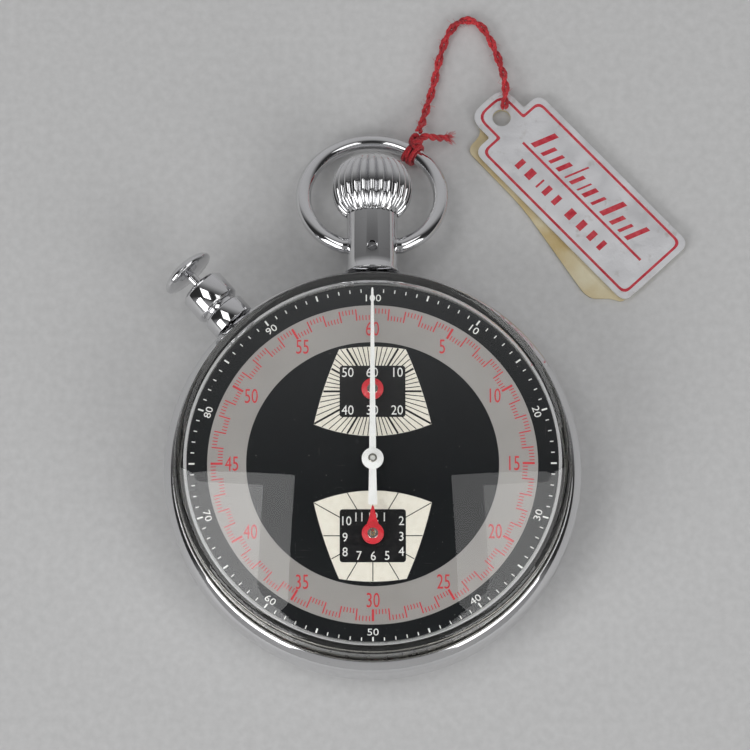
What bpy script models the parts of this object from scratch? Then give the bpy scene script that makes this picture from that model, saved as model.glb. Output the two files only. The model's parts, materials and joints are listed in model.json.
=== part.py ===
"""Pocket stopwatch: a centre seconds hand, two small dials, a fluted crown and a side pusher.

The origin is the middle of the flat case back, on the dial's axis. +Y points to the crown, +X to
three o'clock and +Z out through the dial. Lengths are in metres.
"""

import math

import bmesh
import bpy
from mathutils import Matrix, Vector
from mathutils.geometry import convex_hull_2d

mm = 0.001
TURN = 2 * math.pi

# Sides of a large and of a small turned piece.
CASE_STEPS = 44
ARBOR_STEPS = 8

# Gaps. A fitted piece keeps FIT to its seat, a turning arbor RUN to its hole.
FIT = 0.10 * mm
RUN = 0.05 * mm
CLEAR = 0.30 * mm

# Movement and case, across.
PLATE_R = 22.4 * mm
FLANGE = 2.2 * mm
CASE_WALL = 2.7 * mm
BEZEL_LIP = 0.2 * mm
CRYSTAL_WALL = 1.3 * mm
CRYSTAL_R = PLATE_R + FLANGE + FIT + CRYSTAL_WALL
CASE_R = PLATE_R + FLANGE + CASE_WALL
BEZEL_R = CASE_R + BEZEL_LIP
DIAL_R = PLATE_R + FLANGE - FIT
BACK_FOOT_R = 19.0 * mm
BACK_WALL = 0.8 * mm

# Heights, from the resting face up.
BACK_RIM_Z = 3.0 * mm
BAND_HEIGHT = 5.25 * mm
BAND_TOP_Z = BACK_RIM_Z + BAND_HEIGHT
BEZEL_HEIGHT = 1.75 * mm
HAMMER_Z, HAMMER_T = 2.2 * mm, 0.6 * mm
COCK_Z, COCK_T = 2.95 * mm, 0.6 * mm
HAIRSPRING_Z, HAIRSPRING_T = 3.65 * mm, 0.2 * mm
BALANCE_Z, BALANCE_T = 4.05 * mm, 0.6 * mm
WINDING_Z, WINDING_T = 4.15 * mm, 0.6 * mm
BRIDGE_Z, BRIDGE_T = 5.0 * mm, 0.7 * mm
TRAIN_Z = BRIDGE_Z + BRIDGE_T
BARREL_T = 1.25 * mm
TRAIN_HEIGHT = 2.1 * mm
PLATE_Z, PLATE_T = TRAIN_Z + TRAIN_HEIGHT, 1.6 * mm
PLATE_TOP_Z = PLATE_Z + PLATE_T
RECORDER_HEIGHT = 1.55 * mm
DIAL_T = 0.45 * mm
DIAL_Z = PLATE_TOP_Z + RECORDER_HEIGHT + FIT
DIAL_TOP_Z = DIAL_Z + DIAL_T
SMALL_HAND_RISE = 1.2 * mm
HAND_RISE = 2.3 * mm
HAND_T = 0.15 * mm
CRYSTAL_SHOULDER = 1.4 * mm
CRYSTAL_DOME = 2.45 * mm

# The train. Each wheel is (teeth, module); centres follow from them.
SECONDS_WHEEL = (60, 0.19 * mm)
ESCAPE_PINION = (6, 0.19 * mm)
THIRD_WHEEL = (45, 0.253 * mm)
SECONDS_PINION = (6, 0.253 * mm)
SECOND_WHEEL = (48, 0.267 * mm)
THIRD_PINION = (6, 0.267 * mm)
BARREL_TEETH = (60, 0.264 * mm)
SECOND_PINION = (10, 0.264 * mm)
RECORDER_DRIVER = (24, 0.25 * mm)
MINUTE_IDLER = (37, 0.25 * mm)
MINUTE_WHEEL = (24, 0.25 * mm)
HOUR_IDLER = (48, 0.25 * mm)
HOUR_IDLER_PINION = (6, 0.33 * mm)
HOUR_WHEEL = (36, 0.33 * mm)
WINDING_PINION = (8, 0.5 * mm)
CROWN_WHEEL = (16, 0.5 * mm)
RATCHET_WHEEL = (28, 0.5 * mm)
ADDENDUM = 0.75
DEDENDUM = 1.15

# Axes of the movement, seen from the dial.
SMALL_DIAL_Y = 9.75 * mm
CENTRE = Vector((0, 0))
MINUTES_AT = Vector((0, SMALL_DIAL_Y))
HOURS_AT = Vector((0, -SMALL_DIAL_Y))
BARREL_AT = Vector((9.5, 9.5)) * mm
SECOND_BEARING = math.radians(-75)
ESCAPE_BEARING = math.radians(-135)
PALLET_REACH = 3.1 * mm
BALANCE_REACH = 6.5 * mm
COLUMN_AT = Vector((-8.2, 9.6)) * mm
LEVER_AT = Vector((-6.0, 14.6)) * mm
BRAKE_AT = Vector((-11.5, 2.0)) * mm
HAMMER_AT = Vector((-5.5, 18.5)) * mm
CLICK_AT = Vector((14.6, 2.9)) * mm

# Arbors and small parts.
ARBOR_R = 0.4 * mm
PIVOT_R = 0.2 * mm
PIVOT_LENGTH = 0.55 * mm
HAND_PIPE_R = 0.3 * mm
WHEEL_T = 0.28 * mm
BARREL_WALL = 0.5 * mm
BARREL_ARBOR_R = 0.75 * mm
PILLAR_R = 1.2 * mm
SCREW_R = 0.45 * mm
SCREW_HEAD_R = 0.95 * mm
SCREW_HEAD_T = 0.4 * mm
HEART_R = 1.5 * mm
BALANCE_R = 5.5 * mm
ESCAPE_R = 2.6 * mm

# Crown, stem and pendant. The stem's axis is where the winding pinion meets the crown wheel.
STEM_R = 0.6 * mm
PENDANT_R = 3.4 * mm
PENDANT_BORE_R = 2.2 * mm
PENDANT_ROOT_R = 1.0 * mm
PENDANT_LENGTH = 9.6 * mm
CROWN_R = 5.4 * mm
CROWN_LENGTH = 8.8 * mm
CROWN_SKIRT = 1.75 * mm
CROWN_FLUTES = 26
CROWN_TRAVEL = 1.2 * mm
STEM_END_Y = 17.3 * mm

# Bow, a ring of wire hinged in the pendant's sides. Its far side lies on the table.
BOW_R = 9.3 * mm
BOW_WIRE_R = 1.05 * mm
BOW_PIVOT = 3.9 * mm
BOW_REACH = 8.35 * mm

# The roots of the pendant and of the pusher's guide end short of the mainplate.
ROOT = CASE_WALL + BEZEL_LIP

# Side pusher.
PUSHER_BEARING = math.radians(41.6)
PUSHER_TRAVEL = 1.2 * mm
PUSHER_R = 3.15 * mm
PUSHER_GROOVE_R = 2.35 * mm
PUSHER_SHANK_R = 0.7 * mm
PUSHER_HEAD_R = 3.75 * mm
PUSHER_TUBE = 7.0 * mm
PUSHER_NECK = 1.75 * mm
PUSHER_HEAD_T = 2.0 * mm
HAMMER_TAB_R = 17.5 * mm

# Paper tag on a cotton string.
STRING_R = 0.62 * mm
TAG_LENGTH, TAG_WIDTH, TAG_T = 29.4 * mm, 12.2 * mm, 0.3 * mm
TAG_TAB_LENGTH, TAG_TAB_WIDTH = 4.2 * mm, 6.4 * mm
TAG_HOLE_R = 1.25 * mm
TAG_BEARING = math.radians(-47.0)
TAG_HOLE_AT = Vector((17.65, 51.8)) * mm

# The string's route from its knot on the bow to the tag's hole.
STRING_ROUTE = [
    Vector(point) * mm
    for point in (
        (6.3, 48.8, 3.8),
        (6.8, 50.5, 2.3),
        (7.4, 53.0, 1.0),
        (8.35, 56.4, 0.72),
        (9.3, 60.6, 0.72),
        (10.4, 63.9, 0.72),
        (11.9, 65.7, 0.72),
        (13.6, 66.0, 0.72),
        (15.2, 64.9, 0.72),
        (16.6, 62.3, 0.72),
        (17.7, 59.0, 0.95),
        (18.2, 56.2, 1.8),
        (18.0, 52.7, 1.95),
    )
]

for old in list(bpy.data.objects):
    bpy.data.objects.remove(old, do_unlink=True)

PARTS = bpy.data.collections.new("stopwatch")
CUTTERS = bpy.data.collections.new("cutters")
bpy.context.scene.collection.children.link(PARTS)
bpy.context.scene.collection.children.link(CUTTERS)


# Materials


def material(name, colour, roughness, metallic, transmission=0.0):
    made = bpy.data.materials.new(name)
    made.use_nodes = True
    shader = made.node_tree.nodes["Principled BSDF"]
    shader.inputs["Base Color"].default_value = (*colour, 1)
    shader.inputs["Roughness"].default_value = roughness
    shader.inputs["Metallic"].default_value = metallic
    shader.inputs["Transmission Weight"].default_value = transmission
    return made


CHROME = material("chrome", (0.75, 0.75, 0.77), 0.08, 1.0)
ACRYLIC = material("acrylic", (0.95, 0.96, 0.96), 0.03, 0.0, 0.9)
BLACK_DIAL = material("dial_black", (0.02, 0.02, 0.022), 0.4, 0.0)
WHITE_PAINT = material("white_paint", (0.85, 0.85, 0.83), 0.35, 0.0)
RED_PAINT = material("red_paint", (0.55, 0.02, 0.03), 0.35, 0.0)
NICKEL = material("nickel_brass", (0.62, 0.60, 0.55), 0.25, 1.0)
BRASS = material("brass", (0.72, 0.52, 0.24), 0.25, 1.0)
STEEL = material("steel", (0.55, 0.56, 0.58), 0.22, 1.0)
BLUE_STEEL = material("blue_steel", (0.08, 0.12, 0.35), 0.2, 1.0)
STRING_RED = material("red_cotton", (0.45, 0.02, 0.03), 0.9, 0.0)
FOIL = material("foil_card", (0.72, 0.72, 0.74), 0.3, 0.8)
CARD = material("yellowed_card", (0.75, 0.66, 0.42), 0.8, 0.0)


# Making pieces


def place(name, data, finish, at=(0, 0, 0), facing=(0, 0, 1)):
    """The named object, its own +Z turned to facing."""
    made = bpy.data.objects.new(name, data)
    made.location = at
    made.rotation_euler = Vector((0, 0, 1)).rotation_difference(Vector(facing)).to_euler()
    if finish:
        data.materials.append(finish)
    PARTS.objects.link(made)
    return made


def helper(made):
    """Moves a cutter, or a piece that is joined to another, out of the parts."""
    PARTS.objects.unlink(made)
    CUTTERS.objects.link(made)
    made.hide_render = True
    made.display_type = "WIRE"
    return made


def turned(name, profile, finish=None, steps=32, at=(0, 0, 0), facing=(0, 0, 1)):
    """A turned piece. The profile is (radius, height) points that run down its outer side."""
    mesh = bpy.data.meshes.new(name)
    shape = bmesh.new()
    points = [shape.verts.new((radius, 0, height)) for radius, height in profile]
    closed = profile[0][0] > 0 or profile[-1][0] > 0
    for first, second in zip(points, points[1:] + points[:1] * closed):
        shape.edges.new((first, second))
    shape.to_mesh(mesh)
    shape.free()
    made = place(name, mesh, finish, at, facing)
    screw = made.modifiers.new("turning", "SCREW")
    screw.steps = steps
    screw.render_steps = steps
    screw.use_merge_vertices = True
    screw.merge_threshold = 0.000001
    screw.use_smooth_shade = True
    return made


def rod(name, radius, low, high, finish=None, steps=10, at=(0, 0, 0), facing=(0, 0, 1)):
    """A plain round bar between two heights on its axis."""
    mesh = bpy.data.meshes.new(name)
    shape = bmesh.new()
    bmesh.ops.create_cone(
        shape, cap_ends=True, segments=steps, radius1=radius, radius2=radius, depth=high - low,
        matrix=Matrix.Translation((0, 0, (low + high) / 2)) @ Matrix.Rotation(0.11, 4, "Z"),
    )
    shape.to_mesh(mesh)
    shape.free()
    return place(name, mesh, finish, at, facing)


def box(name, low, high, finish=None):
    mesh = bpy.data.meshes.new(name)
    shape = bmesh.new()
    low, high = Vector(low), Vector(high)
    bmesh.ops.create_cube(shape, size=1, matrix=Matrix.Translation((low + high) / 2)
                          @ Matrix.Diagonal((*(high - low), 1)))
    shape.to_mesh(mesh)
    shape.free()
    return place(name, mesh, finish)


def as_mesh(curve_object, finish):
    """The curve's solid as a mesh object with its caps welded, in place of the curve."""
    bpy.context.view_layer.update()
    graph = bpy.context.evaluated_depsgraph_get()
    mesh = bpy.data.meshes.new_from_object(curve_object.evaluated_get(graph))
    shape = bmesh.new()
    shape.from_mesh(mesh)
    bmesh.ops.remove_doubles(shape, verts=shape.verts, dist=0.0000005)
    bmesh.ops.recalc_face_normals(shape, faces=shape.faces)
    shape.to_mesh(mesh)
    shape.free()
    name, matrix = curve_object.name, curve_object.matrix_world.copy()
    bpy.data.objects.remove(curve_object, do_unlink=True)
    mesh.materials.clear()
    made = place(name, mesh, finish)
    made.name = name
    made.matrix_world = matrix
    return made


def flat(name, outlines, low, thickness, finish=None, at=(0, 0), facing=None):
    """A flat piece: the first outline filled, less the outlines inside it."""
    curve = bpy.data.curves.new(name, "CURVE")
    curve.dimensions = "2D"
    curve.fill_mode = "BOTH"
    curve.extrude = thickness / 2
    for outline in outlines:
        spline = curve.splines.new("POLY")
        spline.points.add(len(outline) - 1)
        spline.use_cyclic_u = True
        for point, (x, y) in zip(spline.points, outline):
            point.co = (x, y, 0, 1)
    middle = low + thickness / 2
    if facing:
        made = place(name, curve, None, Vector(at) + Vector(facing) * middle, facing)
    else:
        made = place(name, curve, None, (*at, middle))
    return as_mesh(made, finish)


def wire(name, points, radius, finish, closed=False, resolution=2):
    """A round wire along the points."""
    curve = bpy.data.curves.new(name, "CURVE")
    curve.dimensions = "3D"
    curve.bevel_depth = radius
    curve.bevel_resolution = resolution
    curve.use_fill_caps = not closed
    spline = curve.splines.new("POLY")
    spline.points.add(len(points) - 1)
    spline.use_cyclic_u = closed
    for point, place_at in zip(spline.points, points):
        point.co = (*place_at, 1)
    return place(name, curve, finish)


def joined(piece, others):
    """The piece, made one solid with the others."""
    for other in others:
        union = piece.modifiers.new("join " + other.name, "BOOLEAN")
        union.operation = "UNION"
        union.object = helper(other)
    return piece


def cut(piece, cutters):
    for cutter in cutters:
        difference = piece.modifiers.new("cut " + cutter.name, "BOOLEAN")
        difference.operation = "DIFFERENCE"
        if cutter.name in PARTS.objects:
            helper(cutter)
        difference.object = cutter
    return piece


# Outlines


def circle(radius, count=16, centre=(0, 0), start=0.0):
    return [
        (centre[0] + radius * math.cos(start + TURN * i / count),
         centre[1] + radius * math.sin(start + TURN * i / count))
        for i in range(count)
    ]


def ring_points(steps, phase, radii_and_turns):
    """Points round a gear: for each tooth, each (radius, share of a pitch from its middle)."""
    return [
        (radius * math.cos(phase + TURN * (tooth + share) / steps),
         radius * math.sin(phase + TURN * (tooth + share) / steps))
        for tooth in range(steps)
        for radius, share in radii_and_turns
    ]


def pitch_radius(gear):
    return gear[0] * gear[1] / 2


def wheel_outline(gear, phase=0.0):
    """A wheel's pointed teeth."""
    radius = pitch_radius(gear)
    return ring_points(gear[0], phase, ((radius + ADDENDUM * gear[1], 0),
                                        (radius - DEDENDUM * gear[1], 0.5)))


def pinion_outline(gear, phase=0.0):
    """A pinion's leaves."""
    radius = pitch_radius(gear)
    root, tip = radius - DEDENDUM * gear[1], radius + ADDENDUM * gear[1]
    return ring_points(gear[0], phase, ((root, -0.25), (tip, -0.1), (tip, 0.1), (root, 0.25)))


def windows(inner, outer, spokes, spoke_width, steps=2):
    """The openings between a wheel's spokes."""
    found = []
    for i in range(spokes):
        middle = TURN * (i + 0.5) / spokes + 0.1
        half = math.pi / spokes
        arcs = []
        for radius, way in ((outer, 1), (inner, -1)):
            reach = half - math.asin(min(0.9, spoke_width / 2 / radius))
            arcs += [
                (radius * math.cos(middle + way * reach * (2 * k / steps - 1)),
                 radius * math.sin(middle + way * reach * (2 * k / steps - 1)))
                for k in range(steps + 1)
            ]
        found.append(arcs)
    return found


def hull(discs, count=16):
    """The outline round a set of (centre, radius) discs."""
    points = [Vector(p) for centre, radius in discs for p in circle(radius, count, centre)]
    return [tuple(points[i]) for i in convex_hull_2d(points)]


def polar(centre, distance, bearing):
    return centre + distance * Vector((math.cos(bearing), math.sin(bearing)))


def centres(gear, other):
    return pitch_radius(gear) + pitch_radius(other)


def meeting(a, reach_a, b, reach_b, side):
    """The point at the two distances from a and b, on the given side of the line from a to b."""
    along = (b - a).normalized()
    apart = (b - a).length
    run = (reach_a**2 - reach_b**2 + apart**2) / (2 * apart)
    rise = math.sqrt(max(reach_a**2 - run**2, 0))
    return a + run * along + side * rise * Vector((-along.y, along.x))


def phase_to(at, gear, phase, other_at, other):
    """The phase of the other gear's teeth, in mesh with this one's."""
    bearing = math.atan2(other_at.y - at.y, other_at.x - at.x)
    offset = (bearing - phase) * gear[0] / TURN
    return bearing + math.pi - (0.5 - offset) * TURN / other[0]


# Places that follow from the train
SECOND_AT = polar(BARREL_AT, centres(BARREL_TEETH, SECOND_PINION), SECOND_BEARING)
THIRD_AT = meeting(
    CENTRE, centres(THIRD_WHEEL, SECONDS_PINION), SECOND_AT, centres(SECOND_WHEEL, THIRD_PINION), -1
)
ESCAPE_AT = polar(CENTRE, centres(SECONDS_WHEEL, ESCAPE_PINION), ESCAPE_BEARING)
PALLET_AT = polar(ESCAPE_AT, PALLET_REACH, ESCAPE_BEARING)
BALANCE_AT = polar(ESCAPE_AT, BALANCE_REACH, ESCAPE_BEARING)
MINUTE_IDLER_AT = meeting(
    SECOND_AT, centres(RECORDER_DRIVER, MINUTE_IDLER), MINUTES_AT,
    centres(MINUTE_IDLER, MINUTE_WHEEL), -1,
)
HOUR_IDLER_AT = meeting(
    SECOND_AT, centres(RECORDER_DRIVER, HOUR_IDLER), HOURS_AT,
    centres(HOUR_IDLER_PINION, HOUR_WHEEL), 1,
)
CROWN_WHEEL_AT = MINUTES_AT + Vector((0, 5.25 * mm))
RATCHET_AT = BARREL_AT
MESH_DEPTH = 0.12 * mm
PINION_TIP_R = pitch_radius(WINDING_PINION) + ADDENDUM * WINDING_PINION[1]
STEM_Z = WINDING_Z + WINDING_T - MESH_DEPTH + PINION_TIP_R
WINDING_Y = CROWN_WHEEL_AT.y + pitch_radius(CROWN_WHEEL)
PENDANT_Y = BEZEL_R + FIT
CROWN_Y = PENDANT_Y + PENDANT_LENGTH - CROWN_SKIRT
PUSHER_OUT = Vector((-math.sin(PUSHER_BEARING), math.cos(PUSHER_BEARING), 0))
PILLARS = {
    "train": [Vector((15.5, -9.0)) * mm, Vector((-8.6, 0.8)) * mm],
    "barrel": [Vector((18.6, 6.4)) * mm, Vector((7.0, 19.8)) * mm, Vector((-3.2, 7.0)) * mm],
}
COCK_FOOT = polar(BALANCE_AT, BALANCE_R + 2.2 * mm, math.radians(216))


# Case


def case_middle():
    band = CASE_R
    seat = PLATE_R + FLANGE + FIT + 0.2 * mm
    recess = BEZEL_R - 2.0 * mm
    neck = BEZEL_R - 1.3 * mm
    ledge = PLATE_Z - FIT
    made = turned("case_middle", [
        (neck, BAND_TOP_Z + 0.5 * mm), (neck, BAND_TOP_Z), (band - 0.15 * mm, BAND_TOP_Z),
        (band, BAND_TOP_Z - 0.25 * mm), (band, BACK_RIM_Z + 1.4 * mm),
        (band - 0.15 * mm, BACK_RIM_Z + 0.6 * mm), (band - 0.45 * mm, BACK_RIM_Z + 0.05 * mm),
        (recess, BACK_RIM_Z + 0.05 * mm), (recess, BACK_RIM_Z + 0.95 * mm),
        (PLATE_R + 0.5 * mm, BACK_RIM_Z + 0.95 * mm), (PLATE_R + 0.5 * mm, ledge),
        (seat, ledge), (seat, BAND_TOP_Z + 0.5 * mm),
    ], CHROME, CASE_STEPS)
    return cut(made, [
        rod("pendant_hole", PENDANT_ROOT_R + RUN, PLATE_R - mm, BEZEL_R + mm, None, 16,
            (0, 0, STEM_Z), (0, 1, 0)),
        rod("pusher_hole", PUSHER_ROOT_R + RUN, PLATE_R - mm, BEZEL_R + mm, None, 16,
            (0, 0, STEM_Z), PUSHER_OUT),
    ])


PUSHER_ROOT_R = 1.05 * mm


def case_back():
    rim = CASE_R - 0.45 * mm
    recess = BEZEL_R - 2.0 * mm
    return turned("case_back", [
        (0, BACK_WALL), (BACK_FOOT_R - 0.5 * mm, BACK_WALL),
        (recess - 1.2 * mm, BACK_RIM_Z - 0.6 * mm), (recess - FIT - 0.8 * mm, BACK_RIM_Z + 0.85 * mm),
        (recess - FIT, BACK_RIM_Z + 0.85 * mm), (recess - FIT, BACK_RIM_Z - 0.05 * mm),
        (rim, BACK_RIM_Z - 0.05 * mm), (rim - 0.2 * mm, BACK_RIM_Z - 0.6 * mm),
        (rim - 1.2 * mm, BACK_RIM_Z - 1.6 * mm), (rim - 3.2 * mm, BACK_RIM_Z - 2.4 * mm),
        (rim - 5.4 * mm, 0.15 * mm), (BACK_FOOT_R, 0), (0, 0),
    ], CHROME, CASE_STEPS)


def bezel():
    low = BAND_TOP_Z + FIT
    top = low + BEZEL_HEIGHT
    neck = BEZEL_R - 1.3 * mm + FIT
    inner = CRYSTAL_R + FIT
    return turned("bezel", [
        (inner, top - 0.1 * mm), (inner + 0.12 * mm, top), (BEZEL_R - 0.75 * mm, top - 0.35 * mm),
        (BEZEL_R - 0.15 * mm, top - 0.9 * mm), (BEZEL_R, top - 1.3 * mm),
        (BEZEL_R - 0.12 * mm, low + 0.15 * mm), (BEZEL_R - 0.3 * mm, low),
        (neck, low), (neck, BAND_TOP_Z + 0.6 * mm),
        (CRYSTAL_R - 0.9 * mm, BAND_TOP_Z + 0.6 * mm), (CRYSTAL_R - 0.9 * mm, CRYSTAL_Z - FIT),
        (inner, CRYSTAL_Z - FIT),
    ], CHROME, CASE_STEPS)


CRYSTAL_Z = BAND_TOP_Z + 1.1 * mm
SHOULDER_Z = DIAL_TOP_Z + CRYSTAL_SHOULDER


def dome(radius, top, drop, count):
    """Points down a shallow dome, from its middle to its edge."""
    return [(radius * i / count, top - drop * (i / count) ** 2) for i in range(count + 1)]


def crystal():
    edge = CRYSTAL_R - 1.0 * mm
    top = SHOULDER_Z + 0.85 * mm + CRYSTAL_DOME
    outside = dome(edge, top, CRYSTAL_DOME, 3) + [
        (CRYSTAL_R - 0.35 * mm, SHOULDER_Z + 0.55 * mm), (CRYSTAL_R, SHOULDER_Z),
        (CRYSTAL_R, CRYSTAL_Z),
    ]
    inside_r = CRYSTAL_R - CRYSTAL_WALL
    inside = [(inside_r, CRYSTAL_Z), (inside_r, SHOULDER_Z - 0.1 * mm)]
    inside += dome(inside_r - 0.35 * mm, top - 1.15 * mm, CRYSTAL_DOME - 0.65 * mm, 3)[::-1]
    return turned("crystal", outside + inside, ACRYLIC, CASE_STEPS)


# Crown, stem, pendant and bow


def pendant():
    """The pendant tube, standing on the band with its root through it."""
    long = PENDANT_LENGTH
    made = turned("pendant", [
        (PENDANT_BORE_R, long), (PENDANT_R - 0.2 * mm, long), (PENDANT_R, long - 0.2 * mm),
        (PENDANT_R, 0.9 * mm), (PENDANT_R + 0.25 * mm, 0.35 * mm), (PENDANT_R + 0.3 * mm, 0),
        (PENDANT_ROOT_R, 0), (PENDANT_ROOT_R, -ROOT),
        (STEM_R + RUN, -ROOT), (STEM_R + RUN, 1.6 * mm),
        (PENDANT_BORE_R, 1.6 * mm),
    ], CHROME, 24, (0, PENDANT_Y, STEM_Z), (0, 1, 0))
    hole = rod("bow_holes", BOW_WIRE_R + RUN, PENDANT_R - 0.9 * mm, PENDANT_R + mm, None, 12,
               (0, PENDANT_Y + BOW_PIVOT, STEM_Z), (1, 0, 0))
    other = rod("bow_hole_2", BOW_WIRE_R + RUN, PENDANT_R - 0.9 * mm, PENDANT_R + mm, None, 12,
                (0, PENDANT_Y + BOW_PIVOT, STEM_Z), (-1, 0, 0))
    screw = rod("pendant_screw_hole", PENDANT_SCREW_R + RUN, PENDANT_R - 0.75 * mm,
                PENDANT_R + mm, None, 12, (0, PENDANT_Y + PENDANT_SCREW_Y, STEM_Z), (0, 0, 1))
    return cut(made, [hole, other, screw])


PENDANT_SCREW_R = 0.7 * mm
PENDANT_SCREW_Y = 2.9 * mm


def slotted_screw(name, head_r, head_z, head_t, shank_r, shank_z, at, finish=STEEL,
                  facing=(0, 0, 1), turn=0.6):
    """A screw from its slotted head, on the facing side, down to the end of its shank."""
    profile = [(0, head_z + head_t), (head_r, head_z + head_t), (head_r, head_z)]
    if shank_z < head_z:
        profile += [(shank_r, head_z), (shank_r, shank_z), (0, shank_z)]
    else:
        profile += [(0, head_z)]
    made = turned(name, profile, finish, 10, at, facing)
    deep = head_t * 0.45
    slot = box(name + "_slot", (-2 * head_r, -head_r * 0.13, 0), (2 * head_r, head_r * 0.13, deep * 2))
    slot.matrix_basis = (made.matrix_basis @ Matrix.Translation((0, 0, head_z + head_t - deep))
                         @ Matrix.Rotation(turn, 4, "Z"))
    return cut(made, [slot])


def crown():
    """The crown: a fluted ball over the pendant's end, bored for the stem."""
    mesh = bpy.data.meshes.new("crown")
    shape = bmesh.new()
    around = 2 * CROWN_FLUTES
    bmesh.ops.create_uvsphere(shape, u_segments=around, v_segments=8, radius=1)
    for point in shape.verts:
        x, y, z = point.co
        wide = math.hypot(x, y)
        spoke = round(math.atan2(y, x) / TURN * around)
        depth = 0.055 if spoke % 2 and wide > 0.3 else 0.0
        fuller = 1.0 if wide < 0.01 else min(1.0, wide**0.62) / wide
        point.co = (x * fuller * CROWN_R * (1 - depth), y * fuller * CROWN_R * (1 - depth),
                    z * CROWN_LENGTH / 2 + CROWN_LENGTH / 2)
    bmesh.ops.recalc_face_normals(shape, faces=shape.faces)
    shape.to_mesh(mesh)
    shape.free()
    made = place("crown", mesh, CHROME, (0, CROWN_Y - 0.35 * mm, STEM_Z), (0, 1, 0))
    return cut(made, [
        rod("crown_recess", PENDANT_R + FIT, -mm, CROWN_RECESS, None, 24,
            (0, CROWN_Y - 0.35 * mm, STEM_Z), (0, 1, 0)),
        rod("crown_bore", STEM_R + RUN, 0, CROWN_LENGTH - 1.4 * mm, None, 12,
            (0, CROWN_Y - 0.35 * mm, STEM_Z), (0, 1, 0)),
    ])


CROWN_RECESS = 0.35 * mm + CROWN_SKIRT + CROWN_TRAVEL + CLEAR


def stem():
    high = CROWN_Y - 0.35 * mm + CROWN_LENGTH - 1.5 * mm
    return rod("stem", STEM_R, STEM_END_Y, high, STEEL, 12, (0, 0, STEM_Z), (0, 1, 0))


def spring_points(radius, low, high, turns, per_turn=8):
    count = turns * per_turn
    return [
        (radius * math.cos(TURN * i / per_turn), radius * math.sin(TURN * i / per_turn),
         low + (high - low) * i / count)
        for i in range(count + 1)
    ]


def crown_spring():
    """The spring in the pendant's bore, round the stem."""
    made = wire("crown_spring", spring_points(1.4 * mm, 2.0 * mm, PENDANT_LENGTH - 1.0 * mm, 4),
                0.22 * mm, STEEL, resolution=0)
    made.location = (0, PENDANT_Y, STEM_Z)
    made.rotation_euler = (-math.pi / 2, 0, 0)
    return made


BOW_AT = Vector((0, PENDANT_Y + BOW_PIVOT, STEM_Z))
BOW_TILT = math.asin((STEM_Z - BOW_WIRE_R - RUN) / (BOW_REACH + BOW_R))


def bow():
    """The bow, a ring open at the pendant, its ends turned into the pendant's sides."""
    arc = math.pi - math.acos((BOW_REACH - 0.3 * mm) / BOW_R)
    count = 24
    points = [
        (BOW_R * math.sin(arc * (2 * i / count - 1)),
         BOW_REACH + BOW_R * math.cos(arc * (2 * i / count - 1)), 0)
        for i in range(count + 1)
    ]
    end = PENDANT_R - 0.7 * mm
    bend = PENDANT_R + 0.45 * mm
    points = [(-end, 0, 0), (-bend, 0, 0)] + points + [(bend, 0, 0), (end, 0, 0)]
    made = wire("bow", points, BOW_WIRE_R, CHROME)
    made.location = BOW_AT
    made.rotation_euler = (-BOW_TILT, 0, 0)
    return made


def on_bow(angle):
    """The middle of the bow's wire and its direction, at the angle round the ring from its far side."""
    lean = Matrix.Rotation(-BOW_TILT, 3, "X")
    out = Vector((BOW_R * math.sin(angle), BOW_REACH + BOW_R * math.cos(angle), 0))
    return BOW_AT + lean @ out, lean @ Vector((math.cos(angle), -math.sin(angle), 0))


# Pusher


def pusher_tube():
    """The pusher's guide: a collar on the band, a groove and a barrel, its root in the band."""
    long = PUSHER_TUBE
    made = turned("pusher_tube", [
        (PUSHER_SHANK_R + RUN, long), (PUSHER_R - 0.5 * mm, long), (PUSHER_R, long - 0.5 * mm),
        (PUSHER_R, long - 3.6 * mm), (PUSHER_R - 0.3 * mm, long - 3.9 * mm),
        (PUSHER_GROOVE_R, long - 3.9 * mm), (PUSHER_GROOVE_R, long - 4.5 * mm),
        (PUSHER_R - 0.4 * mm, long - 4.5 * mm), (PUSHER_R - 0.1 * mm, long - 4.75 * mm),
        (PUSHER_R - 0.1 * mm, 0), (PUSHER_ROOT_R, 0), (PUSHER_ROOT_R, -ROOT),
        (PUSHER_SHANK_R + RUN, -ROOT), (PUSHER_SHANK_R + RUN, 1.4 * mm),
        (PUSHER_SPRING_R, 1.4 * mm), (PUSHER_SPRING_R, long - 1.0 * mm),
        (PUSHER_SHANK_R + RUN, long - 1.0 * mm),
    ], CHROME, 20, Vector((0, 0, STEM_Z)) + PUSHER_OUT * (BEZEL_R + FIT), PUSHER_OUT)
    return made


PUSHER_SPRING_R = 1.7 * mm


def pusher_button():
    """The pusher's mushroom head and its shank, which reaches the reset hammer's tail."""
    base = BEZEL_R + FIT + PUSHER_TUBE + PUSHER_NECK
    inner = HAMMER_TAB_R + 0.9 * mm
    head = PUSHER_HEAD_R
    return turned("pusher_button", [
        (0, base + PUSHER_HEAD_T), (head * 0.45, base + PUSHER_HEAD_T - 0.1 * mm),
        (head * 0.8, base + PUSHER_HEAD_T - 0.45 * mm), (head * 0.97, base + 1.05 * mm),
        (head, base + 0.7 * mm), (head * 0.93, base + 0.35 * mm), (head * 0.6, base + 0.05 * mm),
        (PUSHER_SHANK_R, base), (PUSHER_SHANK_R, inner), (0, inner),
    ], CHROME, 20, (0, 0, STEM_Z), PUSHER_OUT)


def pusher_spring():
    made = wire("pusher_spring", spring_points(1.22 * mm, 1.8 * mm, PUSHER_TUBE - 1.4 * mm, 4),
                0.2 * mm, STEEL, resolution=0)
    made.location = Vector((0, 0, STEM_Z)) + PUSHER_OUT * (BEZEL_R + FIT)
    made.rotation_euler = Vector((0, 0, 1)).rotation_difference(PUSHER_OUT).to_euler()
    return made


# Dial and hands

DIAL_FEET = [polar(CENTRE, 20.2 * mm, math.radians(angle)) for angle in (150, -40)]
FOOT_R = 0.4 * mm
DIAL_HOLE_R = 0.55 * mm


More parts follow.
